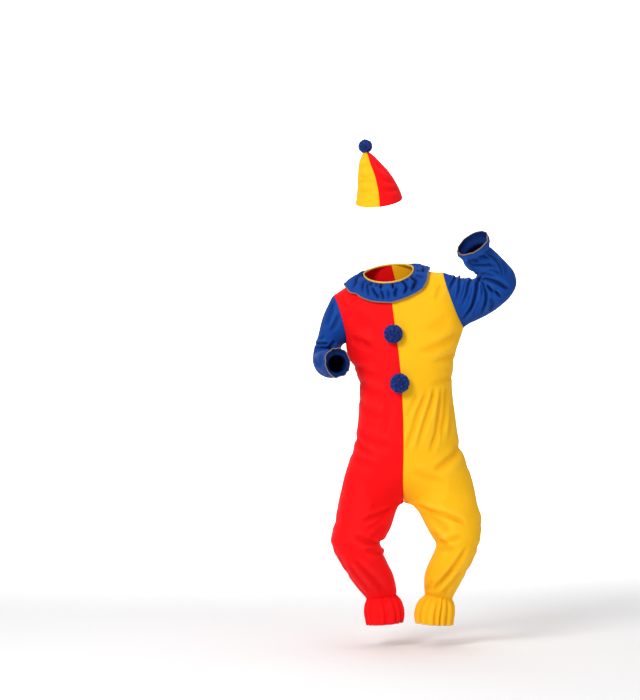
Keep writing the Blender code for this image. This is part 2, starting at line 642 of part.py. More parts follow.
def collar_cloth(tree, panel_points):
    """Gathered ruffle that hangs from the neckline over chest, shoulders and back."""
    core = Vector((8 * MM, 0.0, -130 * MM))
    columns = COLLAR_GATHERS * COLUMNS_PER_FLUTE
    reaches = (0.03, 0.33, 0.67, 1.0)
    places, normals = [], []
    for reach in reaches:
        line = []
        for i in range(columns):
            turn = i / columns
            edge, away = collar_course(turn)
            aim = edge + away * COLLAR_WIDTH * reach
            place, normal, _, _ = tree.find_nearest(aim)
            outward = (normal + (aim - core).normalized()).normalized()
            above, facing, _, _ = tree.ray_cast(place + outward * 0.05, -outward)
            if above is not None and (above - place).dot(outward) > 0.0:
                place, normal = above, facing
            line.append((place, outward, normal))
        smooth = []
        for i in range(columns):
            total = Vector((0.0, 0.0, 0.0))
            for k in range(-4, 5):
                total = total + line[(i + k) % columns][1]
            smooth.append(total.normalized())
        places.append(line)
        normals.append(smooth)
    cloth = Cloth()
    rows = []
    outwards = []
    for reach, line, smooth in zip(reaches, places, normals):
        row = []
        for i in range(columns + 1):
            k = i % columns
            angle = math.tau * i / columns
            uneven = 1.0 + 0.2 * math.sin(3.0 * angle) + 0.15 * math.sin(7.0 * angle + 1.0)
            flute = COLLAR_FLUTE * reach * uneven * (1.0 + math.cos(COLLAR_GATHERS * angle))
            lift = COLLAR_LIFT + 2.4 * MM * reach
            lift = lift / max(0.5, smooth[k].dot(line[k][2])) + flute
            row.append((i / columns, line[k][0] + smooth[k] * lift, 0.0))
        rows.append(row)
        outwards += smooth
    cloth.add_rows(rows, flip=False)
    weld_columns(cloth)
    for _ in range(6):
        clear_of_panels(cloth, outwards, tree, panel_points)
    return cloth


def clear_of_panels(cloth, outwards, tree, panel_points):
    """Pushes the collar outwards wherever it comes closer to a panel than its lift."""
    need = {}
    over = BVHTree.FromPolygons([tuple(p) for p in cloth.points], cloth.faces)

    def ask(face, missing):
        for index in face:
            need[index] = max(need.get(index, 0.0), missing)

    for face in cloth.faces:
        a, b, c = (cloth.points[i] for i in face)
        for probe in ((a + b + c) / 3.0, (a + b) / 2.0, (b + c) / 2.0, (c + a) / 2.0, a, b, c):
            place, normal, _, _ = tree.find_nearest(probe)
            height = (probe - place).dot(normal)
            if height < COLLAR_LIFT:
                ask(face, COLLAR_LIFT - height)
    for point in panel_points:
        place, normal, number, distance = over.find_nearest(point)
        height = (place - point).dot(normal)
        if distance < 0.012 and height < COLLAR_LIFT and distance - abs(height) < 0.25 * MM:
            ask(cloth.faces[number], COLLAR_LIFT - height)
    for index, missing in need.items():
        cloth.points[index] = cloth.points[index] + outwards[index] * min(missing, 2.0 * MM)


def neck_turn(turn):
    """Neckline point for a whole turn that starts at the front."""
    return neckline(1, turn * 2.0) if turn <= 0.5 else neckline(-1, 2.0 - turn * 2.0)


def collar_course(turn):
    """Neckline point and the direction in which the collar leaves it."""
    edge = neck_turn(turn % 1.0)
    level = Vector((edge.x - NECKLINE.middle[0] * MM, edge.y - NECKLINE.middle[1] * MM, 0.0))
    level.normalize()
    slope = math.radians(22.0 + 42.0 * abs(level.y))
    return edge, level * math.cos(slope) + Vector((0.0, 0.0, -math.sin(slope)))


def binding_mesh():
    """Narrow band that caps the neckline edge of panels and collar."""
    columns = 48
    points, faces = [], []
    ring = [neck_turn(i / columns) for i in range(columns)]
    for i, edge in enumerate(ring):
        along = (ring[(i + 1) % columns] - ring[i - 1]).normalized()
        level = Vector((edge.x - NECKLINE.middle[0] * MM, edge.y - NECKLINE.middle[1] * MM, 0.0))
        out = level.normalized()
        out = (out - along * out.dot(along)).normalized()
        up = out.cross(along)
        if up.z < 0.0:
            up = -up
        low, high = 0.5 * MM, 0.5 * MM + BINDING_HEIGHT
        near, far = -0.62 * BINDING_WALL, 0.38 * BINDING_WALL
        for side, height in ((far, low), (far, high), (near, high), (near, low)):
            points.append(edge + out * side + up * height)
    for i in range(columns):
        j = (i + 1) % columns
        for k in range(4):
            m = (k + 1) % 4
            a, b, c, d = 4 * i + k, 4 * j + k, 4 * j + m, 4 * i + m
            faces += [(a, b, c), (a, c, d)]
    return points, faces


def icosphere():
    """Points and triangles of a ball with eighty faces."""
    gold = (1.0 + 5.0 ** 0.5) / 2.0
    base = [(-1, gold, 0), (1, gold, 0), (-1, -gold, 0), (1, -gold, 0),
            (0, -1, gold), (0, 1, gold), (0, -1, -gold), (0, 1, -gold),
            (gold, 0, -1), (gold, 0, 1), (-gold, 0, -1), (-gold, 0, 1)]
    points = [Vector(p).normalized() for p in base]
    faces = [(0, 11, 5), (0, 5, 1), (0, 1, 7), (0, 7, 10), (0, 10, 11), (1, 5, 9), (5, 11, 4),
             (11, 10, 2), (10, 7, 6), (7, 1, 8), (3, 9, 4), (3, 4, 2), (3, 2, 6), (3, 6, 8),
             (3, 8, 9), (4, 9, 5), (2, 4, 11), (6, 2, 10), (8, 6, 7), (9, 8, 1)]
    middles = {}
    split = []
    for face in faces:
        mids = []
        for a, b in ((face[0], face[1]), (face[1], face[2]), (face[2], face[0])):
            pair = (min(a, b), max(a, b))
            if pair not in middles:
                middles[pair] = len(points)
                points.append(((points[a] + points[b]) / 2.0).normalized())
            mids.append(middles[pair])
        a, b, c = face
        ab, bc, ca = mids
        split += [(a, ab, ca), (b, bc, ab), (c, ca, bc), (ab, bc, ca)]
    return points, split


def pompom_mesh(seat, outward, radius):
    """Ball of three-sided yarn locks; its backing lies on a plane through seat."""
    ball, faces = icosphere()
    turn = Vector((0, 0, 1)).rotation_difference(outward)
    middle = seat + outward * radius * POMPOM_SEAT_SHARE
    reach_back = radius * POMPOM_SEAT_SHARE
    points = [middle + (turn @ p) * radius * POMPOM_CORE_SHARE for p in ball]
    out = []
    for number, face in enumerate(faces):
        corners = [turn @ ball[i] for i in face]
        centre = (corners[0] + corners[1] + corners[2]) / 3.0
        uneven = 1.0 + 0.07 * math.sin(2.7 * number) + 0.04 * math.sin(5.1 * number + 1.0)
        tips = []
        for corner in corners:
            direction = (centre + (corner - centre) * POMPOM_TAPER).normalized()
            behind = max(1e-6, -direction.dot(outward))
            reach = min(radius * 0.97 * uneven, reach_back / behind)
            tips.append(len(points))
            points.append(middle + direction * reach)
        for k in range(3):
            m = (k + 1) % 3
            out += [(face[k], face[m], tips[m]), (face[k], tips[m], tips[k])]
        out.append(tuple(tips))
    return points, out


def hat_ring(index, share, sign):
    """Hat point, share 0 at the front seam, 0.5 at the side, 1 at the back seam."""
    row = HAT_ROWS[index]
    left = Vector((row.left[0], HAT_Y, row.left[1])) * MM
    right = Vector((row.right[0], HAT_Y, row.right[1])) * MM
    middle = (left + right) / 2.0
    front = Vector((0.0, -row.half_depth, -row.dip)) * MM
    side = (right if sign > 0 else left) - middle
    angle = math.pi * share
    return middle + side * math.sin(angle) + front * math.cos(angle)


def hat_cloth(sign):
    cloth = Cloth()
    rows = [[(0.0, vec(HAT_APEX), 0.0)]]
    for index in range(len(HAT_ROWS) - 1, -1, -1):
        columns = HAT_COLUMNS if index < len(HAT_ROWS) - 1 else HAT_COLUMNS // 2
        rows.append([(i / columns, hat_ring(index, i / columns, sign), 0.0)
                     for i in range(columns + 1)])
    cloth.add_rows(rows, flip=sign < 0)
    return cloth


def seated_pompom(tree, x, z, radius):
    """Pompom moved in along the panel's normal until it all but touches the cloth."""
    start, _, _, _ = tree.ray_cast(Vector((x, -1.0, z)), Vector((0.0, 1.0, 0.0)))
    outward = Vector((0.0, 0.0, 0.0))
    for step in range(8):
        angle = math.tau * step / 8.0
        aside = Vector((x + radius * 0.7 * math.cos(angle), -1.0,
                        z + radius * 0.7 * math.sin(angle)))
        outward = outward + tree.ray_cast(aside, Vector((0.0, 1.0, 0.0)))[1]
    outward.normalize()
    lift = 12 * MM
    step = 0.2 * MM
    while lift > -6 * MM:
        points, faces = pompom_mesh(start + outward * (lift - step), outward, radius)
        if BVHTree.FromPolygons([tuple(p) for p in points], faces).overlap(tree):
            break
        lift -= step
    return pompom_mesh(start + outward * (lift + POMPOM_CLEARANCE), outward, radius)


def main():
    for old in list(bpy.data.objects):
        bpy.data.objects.remove(old, do_unlink=True)
    halves = (Half("red", -1, RED_LEG, RED_ARMHOLE), Half("gold", 1, GOLD_LEG, GOLD_ARMHOLE))
    rows = [-float(k) for k in range(YOKE_ROWS, 0, -1)]
    rows += [float(k) for k in range(0, halves[0].last_row + 1)]
    rows += [10.5, 14.5, 15.5, 17.5, 18.5]
    rows.sort()
    panels = {}
    for half in halves:
        for side, front_side in (("front", True), ("back", False)):
            panels[side + "_" + half.name] = (panel_cloth(half, front_side, rows), half.name)
    sleeves = {
        "sleeve_right": sleeve_cloth(Sleeve("right", -1, RED_SLEEVE, RED_ARMHOLE)),
        "sleeve_left": sleeve_cloth(Sleeve("left", 1, GOLD_SLEEVE, GOLD_ARMHOLE)),
    }
    panel_list = [cloth for cloth, _ in panels.values()]
    drape(panel_list, list(sleeves.values()))
    joined = shared_normals(panel_list + list(sleeves.values()))
    for name, (cloth, colour) in panels.items():
        make_object(name, *wall_mesh(cloth, joined), colour)
    for name, cloth in sleeves.items():
        make_object(name, *wall_mesh(cloth, joined), "blue")

    points, faces = [], []
    for cloth in panel_list:
        start = len(points)
        points += cloth.points
        faces += [tuple(i + start for i in face) for face in cloth.faces]
    tree = BVHTree.FromPolygons([tuple(p) for p in points], faces)

    collar = collar_cloth(tree, points)
    make_object("collar_ruffle", *wall_mesh(collar, shared_normals([collar])), "blue")
    make_object("neck_binding", *binding_mesh(), "binding")

    for size in FRONT_POMPOMS:
        x, z, radius = size.x * MM, size.z * MM, size.radius * MM
        make_object(size.name, *seated_pompom(tree, x, z, radius), "pompom")

    hats = {"hat_red": (hat_cloth(1), "red"), "hat_gold": (hat_cloth(-1), "gold")}
    hat_normals = shared_normals([cloth for cloth, _ in hats.values()])
    for name, (cloth, colour) in hats.items():
        make_object(name, *wall_mesh(cloth, hat_normals), colour)
    lean = (vec(HAT_APEX) - hat_ring(4, 0.5, 1).lerp(hat_ring(4, 0.5, -1), 0.5)).normalized()
    seat = vec(HAT_APEX) + lean * POMPOM_CLEARANCE
    make_object("hat_pompom", *pompom_mesh(seat, lean, HAT_POMPOM_RADIUS * MM), "pompom")


main()
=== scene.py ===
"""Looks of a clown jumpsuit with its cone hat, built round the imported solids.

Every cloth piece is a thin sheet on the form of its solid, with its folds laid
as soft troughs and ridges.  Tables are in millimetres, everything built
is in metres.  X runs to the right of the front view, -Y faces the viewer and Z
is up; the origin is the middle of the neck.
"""

import logging
import math
from dataclasses import dataclass, field, replace
from enum import Enum
from typing import Any, NamedTuple, Optional, Sequence

import bpy
import numpy as np
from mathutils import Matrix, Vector
from mathutils.bvhtree import BVHTree

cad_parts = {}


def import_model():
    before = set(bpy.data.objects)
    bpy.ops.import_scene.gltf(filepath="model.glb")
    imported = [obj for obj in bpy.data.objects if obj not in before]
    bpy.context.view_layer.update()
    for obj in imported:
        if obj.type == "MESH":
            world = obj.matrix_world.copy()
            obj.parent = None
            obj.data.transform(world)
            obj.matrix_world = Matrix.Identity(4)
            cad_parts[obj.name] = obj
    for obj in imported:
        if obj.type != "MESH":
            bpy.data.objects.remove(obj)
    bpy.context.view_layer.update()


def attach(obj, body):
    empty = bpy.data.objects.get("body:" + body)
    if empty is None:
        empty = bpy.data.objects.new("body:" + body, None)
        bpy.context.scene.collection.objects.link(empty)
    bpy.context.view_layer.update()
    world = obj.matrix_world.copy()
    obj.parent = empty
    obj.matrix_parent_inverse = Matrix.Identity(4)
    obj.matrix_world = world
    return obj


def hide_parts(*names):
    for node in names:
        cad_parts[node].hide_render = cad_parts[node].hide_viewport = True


MM = 0.001                       # in metres
EVERYWHERE = (-999, 999)         # range of x in millimetres
LOG = logging.getLogger("clown_suit")

CLOTH_WALL = 0.9 * MM            # thickness of the knit
YOKE_STEPS = 10                  # mesh rows for each yoke row
TRUNK_STEPS = 10
LEG_STEPS = 8
FRILL_STEPS = 10
PANEL_COLUMNS = 94
SLEEVE_STEPS = 13
FOREARM_RING = 6                 # first ring of the raised forearm
ANKLE_GATHERS = 15
CUFF_GATHERS = 10
YOKE_ROWS = 10                   # levels from the underarm up to the shoulder seam
NECK_ROW = 5                     # level at which the neckline starts in front and behind
SEAM_SINK = 0.9 * MM             # how far a seam pulls in
SEAM_SPREAD = 3.5 * MM           # how far from the seam that reaches
PAINTED_SHADE_DEPTH = 5.0 * MM           # depth of a fold at which its painted shade is nearly full
FAR_AWAY = 99.0                  # millimetres, for a point without a seam nearby
KEY_FINENESS = 2.0e5             # steps in a metre when points are matched
KEY_SHIFT = 0.137                # keeps round sizes off the border between two steps
ANKLE_THREAD = 0.9 * MM
CUFF_THREAD = 2.2 * MM
COLLAR_THREAD = 2.1 * MM
STUDIO_FLOOR = -1.414            # a little below the ankle frills


class TorsoRow(NamedTuple):
    """Level of the trunk: seams at the front, back and sides, and how far the leg is closed."""

    name: str
    front: tuple
    back: tuple
    red: tuple
    gold: tuple
    leg_share: float


class LegRow(NamedTuple):
    """Level of a leg: inseam and side seam as (x, z), its middle, half depth and flutes."""

    name: str
    inner: tuple
    outer: tuple
    y: float
    half_depth: float
    flute: float


class NeckLoop(NamedTuple):
    """Neckline: its middle and the offsets to front, back and sides."""

    middle: tuple
    front: tuple
    back: tuple
    red: tuple
    gold: tuple


class ArmLoop(NamedTuple):
    """Armhole: shoulder point, underarm point and the offsets to front and back."""

    shoulder: tuple
    underarm: tuple
    front: tuple
    back: tuple


class SleeveRow(NamedTuple):
    """Ring of a sleeve: its line over the arm, under the arm, depths and flutes."""

    name: str
    over: tuple
    under: tuple
    front: float
    back: float
    flute: float


class HatRow(NamedTuple):
    """Ring of the hat: left and right edge as (x, z), half depth and dip in front."""

    name: str
    left: tuple
    right: tuple
    half_depth: float
    dip: float


class Face(Enum):
    """Side from which a fold is laid out: the way it faces and its level axis."""

    FRONT = ((0.0, -1.0, 0.0), 0)
    BACK = ((0.0, 1.0, 0.0), 0)
    LEFT = ((1.0, 0.0, 0.0), 1)
    RIGHT = ((-1.0, 0.0, 0.0), 1)


class Held(Enum):
    """How a sheet of cloth is held."""

    HUNG = "hung"
    GATHERED = "gathered"


class Seam(Enum):
    """Where a piece is sewn: along its first, last or middle column, or its top row."""

    FIRST = 1
    LAST = 2
    MIDDLE = 3
    TOP = 4


@dataclass(frozen=True)
class Fold:
    """Soft fold: a trough along a line, with a ridge on either side of it."""

    name: str
    line: tuple
    width: float
    depth: float
    wrap: float = 0.0
    taper: tuple = (0.24, 0.3)
    within: tuple = EVERYWHERE
    face: Face = Face.FRONT

    def course(self) -> np.ndarray:
        """Smooth line through the fold's points, in millimetres.

        Returns:
            Points from its first to its last end.
        """
        points = np.array(self.line, float)
        ends = np.vstack([2 * points[0] - points[1], points, 2 * points[-1] - points[-2]])
        pieces = [catmull(ends[k], ends[k + 1], ends[k + 2], ends[k + 3], t)
                  for k in range(len(points) - 1) for t in (0.0, 0.25, 0.5, 0.75)]
        return np.vstack([pieces, points[-1:]])

    def relief(self, points: np.ndarray, normals: np.ndarray) -> tuple:
        """Depth of the fold at each point that it reaches.

        Args:
            points: Points of the cloth in metres.
            normals: Outward normals there.

        Returns:
            The indices it reaches, their depth in metres, and the painted shade that darkens
            the colour in the fold, below zero for the painted highlight on the ridges.
        """
        facing, axis = self.face.value
        weight = np.clip((normals @ np.array(facing)) * 1.8 + self.wrap, 0.0, 1.0)
        weight *= (points[:, 0] > self.within[0] * MM) & (points[:, 0] < self.within[1] * MM)
        place = points[:, (axis, 2)] / MM
        course = self.course()
        room = 4.0 * self.width
        near = np.flatnonzero((weight > 0.02) & (place > course.min(0) - room).all(1)
                              & (place < course.max(0) + room).all(1))
        place, weight = place[near], weight[near]
        best = np.full(len(near), 1e9)
        along, side = np.zeros(len(near)), np.zeros(len(near))
        for k in range(len(course) - 1):
            step = course[k + 1] - course[k]
            part = np.clip((place - course[k]) @ step / (step @ step), 0.0, 1.0)
            gap = place - course[k] - part[:, None] * step
            distance = np.hypot(gap[:, 0], gap[:, 1])
            closer = distance < best
            best[closer] = distance[closer]
            along[closer] = ((k + part) / (len(course) - 1))[closer]
            side[closer] = (np.sign(step[0] * gap[:, 1] - step[1] * gap[:, 0]) * distance)[closer]
        ends = soft_step(along / self.taper[0]) * soft_step((1.0 - along) / self.taper[1])
        width = self.width * (0.65 + 0.35 * np.sin(np.pi * along)) * np.where(side > 0.0, 1.2, 0.8)
        trough = bell(side / width)
        ridge = 0.5 * bell((side - 1.9 * width) / width) + 0.3 * bell((side + 1.9 * width) / width)
        strength = self.depth * MM * ends * weight
        # the last value is painted shade in the trough and painted highlight on the ridges
        return near, strength * (trough - ridge), strength * (trough - 0.9 * ridge)


def seen_from(face: Face, folds: Sequence[Fold], within: tuple = EVERYWHERE) -> tuple:
    """Folds that are laid out from another side than the front, within a range of x."""
    return tuple(replace(fold, face=face, within=within) for fold in folds)


TORSO_ROWS = (
    TorsoRow("underarm", (21, -112, -252), (78, 112), (-163, 50, -281), (276, -45, -224), 0.0),
    TorsoRow("chest", (29, -122, -308), (76, 118), (-155, 44, -330), (248, -44, -304), 0.0),
    TorsoRow("ribs", (35, -127, -363), (75, 115), (-131, 34, -371), (238, -34, -356), 0.0),
    TorsoRow("waist", (41, -130, -426), (75, 108), (-113, 26, -428), (233, -26, -420), 0.0),
    TorsoRow("low waist", (44, -133, -492), (76, 108), (-112, 22, -492), (237, -22, -495), 0.0),
    TorsoRow("belly", (47, -136, -566), (78, 118), (-117, 18, -567), (248, -18, -566), 0.0),
    TorsoRow("high hip", (48, -138, -633), (78, 131), (-126, 15, -638), (257, -15, -633), 0.0),
    TorsoRow("hip crease", (48, -138, -666), (77, 136), (-133, 14, -672), (261, -14, -667), 0.0),
    TorsoRow("hip", (48, -138, -706), (75, 140), (-148, 12, -713), (282, -12, -712), 0.05),
    TorsoRow("seat", (47, -137, -769), (70, 140), (-167, 8, -773), (305, -8, -776), 0.19),
    TorsoRow("above crotch", (49, -133, -826), (62, 132), (-180, 0, -825), (319, -2, -832), 0.47),
    TorsoRow("crotch", (54, -130, -877), (54, 120), (-190, -18, -869), (329, -20, -881), 1.0),
)

CROTCH_Y = 0
CROTCH_HALF_DEPTH = 124
INSEAM_POINT = (0.75, 0.45, 0.2)         # how pointed crotch and first leg rings are

GOLD_LEG = (
    LegRow("upper thigh", (87, -889), (340, -921), -26, 117, 0),
    LegRow("thigh", (115, -926), (343, -953), -42, 110, 0),
    LegRow("low thigh", (134, -965), (339, -982), -59, 103, 0),
    LegRow("over knee", (154, -1000), (334, -1009), -75, 96, 0),
    LegRow("knee", (171, -1025), (328, -1038), -84, 86, 0),
    LegRow("under knee", (166, -1052), (316, -1070), -84, 81, 0),
    LegRow("calf", (144, -1096), (299, -1108), -75, 80, 0),
    LegRow("low calf", (131, -1139), (275, -1154), -55, 76, 0),
    LegRow("shin", (127, -1180), (253, -1197), -36, 67, 0),
    LegRow("over elastic", (130, -1208), (240, -1222), -22, 57, 0),
    LegRow("elastic", (131, -1225), (234, -1239), -15, 50, 2.2),
    LegRow("frill top", (112, -1246), (241, -1260), -15, 62, 5.5),
    LegRow("frill", (100, -1273), (241, -1287), -15, 70, 7.5),
    LegRow("frill low", (96, -1300), (237, -1311), -15, 73, 8.5),
    LegRow("hem", (100, -1326), (234, -1334), -15, 74, 9.0),
)

RED_LEG = (
    LegRow("upper thigh", (33, -891), (-198, -914), -26, 117, 0),
    LegRow("thigh", (19, -926), (-207, -953), -42, 110, 0),
    LegRow("low thigh", (5, -965), (-216, -986), -59, 103, 0),
    LegRow("over knee", (-17, -1002), (-221, -1014), -75, 96, 0),
    LegRow("knee", (-35, -1027), (-215, -1043), -84, 86, 0),
    LegRow("under knee", (-26, -1055), (-199, -1074), -84, 81, 0),
    LegRow("calf", (-11, -1096), (-176, -1116), -75, 80, 0),
    LegRow("low calf", (10, -1139), (-149, -1157), -55, 76, 0),
    LegRow("shin", (22, -1180), (-121, -1196), -36, 67, 0),
    LegRow("over elastic", (25, -1207), (-98, -1223), -22, 57, 0),
    LegRow("elastic", (25, -1223), (-87, -1240), -15, 50, 2.2),
    LegRow("frill top", (42, -1244), (-93, -1262), -15, 62, 5.5),
    LegRow("frill", (52, -1273), (-95, -1288), -15, 70, 7.5),
    LegRow("frill low", (54, -1300), (-91, -1312), -15, 73, 8.5),
    LegRow("hem", (50, -1323), (-86, -1334), -15, 74, 9.0),
)

NECKLINE = NeckLoop((-4, -1, -18), (2, -82, -42), (14, 68, 30), (-92, 21, -8), (92, -21, 8))
GOLD_ARMHOLE = ArmLoop((202, -50, -20), (276, -45, -224), (-18, -58, 14), (10, 58, -5))
RED_ARMHOLE = ArmLoop((-212, 50, -104), (-163, 50, -281), (8, -65, 10), (27, 62, -5))

GOLD_SLEEVE = (
    SleeveRow("head", (224, -55, -27), (299, -50, -209), 66, 66, 0),
    SleeveRow("upper arm", (250, -62, -34), (332, -58, -192), 68, 68, 0),
    SleeveRow("middle arm", (275, -72, -40), (368, -70, -173), 68, 68, 0),
    SleeveRow("lower arm", (297, -82, -42), (408, -85, -146), 66, 66, 0),
    SleeveRow("over elbow", (313, -92, -39), (444, -100, -111), 62, 62, 0),
    SleeveRow("elbow", (320, -103, -32), (467, -115, -67), 60, 60, 0),
    SleeveRow("under elbow", (316, -116, -23), (458, -130, -26), 58, 58, 0),
    SleeveRow("forearm", (304, -130, -12), (434, -145, 2), 55, 55, 0),
    SleeveRow("thin forearm", (288, -145, 0), (408, -160, 30), 51, 51, 0),
    SleeveRow("over wrist", (276, -160, 14), (380, -175, 57), 46, 46, 0),
    SleeveRow("elastic", (270, -174, 30), (354, -189, 77), 38, 38, 2.0),
    SleeveRow("frill top", (254, -188, 37), (359, -202, 96), 50, 50, 5.0),
    SleeveRow("hem", (247, -201, 52), (352, -215, 117), 57, 57, 7.5),
)

RED_SLEEVE = (
    SleeveRow("head", (-236, 55, -150), (-172, 54, -287), 64, 64, 0),
    SleeveRow("upper arm", (-255, 62, -202), (-178, 58, -294), 64, 66, 0),
    SleeveRow("middle arm", (-269, 68, -255), (-182, 62, -302), 62, 66, 0),
    SleeveRow("lower arm", (-281, 72, -294), (-184, 64, -310), 52, 66, 0),
    SleeveRow("over elbow", (-287, 66, -326), (-184, 58, -320), 40, 66, 0),
    SleeveRow("elbow", (-289, 45, -349), (-182, 40, -331), 40, 62, 0),
    SleeveRow("under elbow", (-285, 10, -360), (-180, 8, -342), 48, 60, 0),
    SleeveRow("forearm", (-274, -25, -364), (-175, -25, -349), 53, 58, 0),
    SleeveRow("thin forearm", (-259, -60, -366), (-168, -58, -352), 50, 52, 0),
    SleeveRow("over wrist", (-242, -90, -366), (-162, -86, -354), 42, 45, 0),
    SleeveRow("elastic", (-232, -104, -365), (-162, -100, -352), 35, 36, 2.0),
    SleeveRow("frill top", (-239, -118, -362), (-155, -112, -349), 48, 48, 5.0),
    SleeveRow("hem", (-241, -132, -359), (-151, -125, -347), 56, 57, 7.5),
)

HAT_ROWS = (
    HatRow("hem", (-127, 240), (49, 262), 90, 28),
    HatRow("band", (-124, 268), (43, 281), 86, 24),
    HatRow("low cone", (-121, 303), (32, 305), 77, 17),
    HatRow("cone", (-120, 337), (15, 336), 67, 11),
    HatRow("high cone", (-118, 366), (-6, 365), 56, 7),
    HatRow("neck", (-115, 392), (-31, 391), 42, 4),
    HatRow("tip", (-107, 415), (-51, 414), 28, 2),
    HatRow("crown", (-98, 432), (-71, 431), 13, 1),
)

HAT_Y = -10
HAT_APEX = (-85, -10, 438)

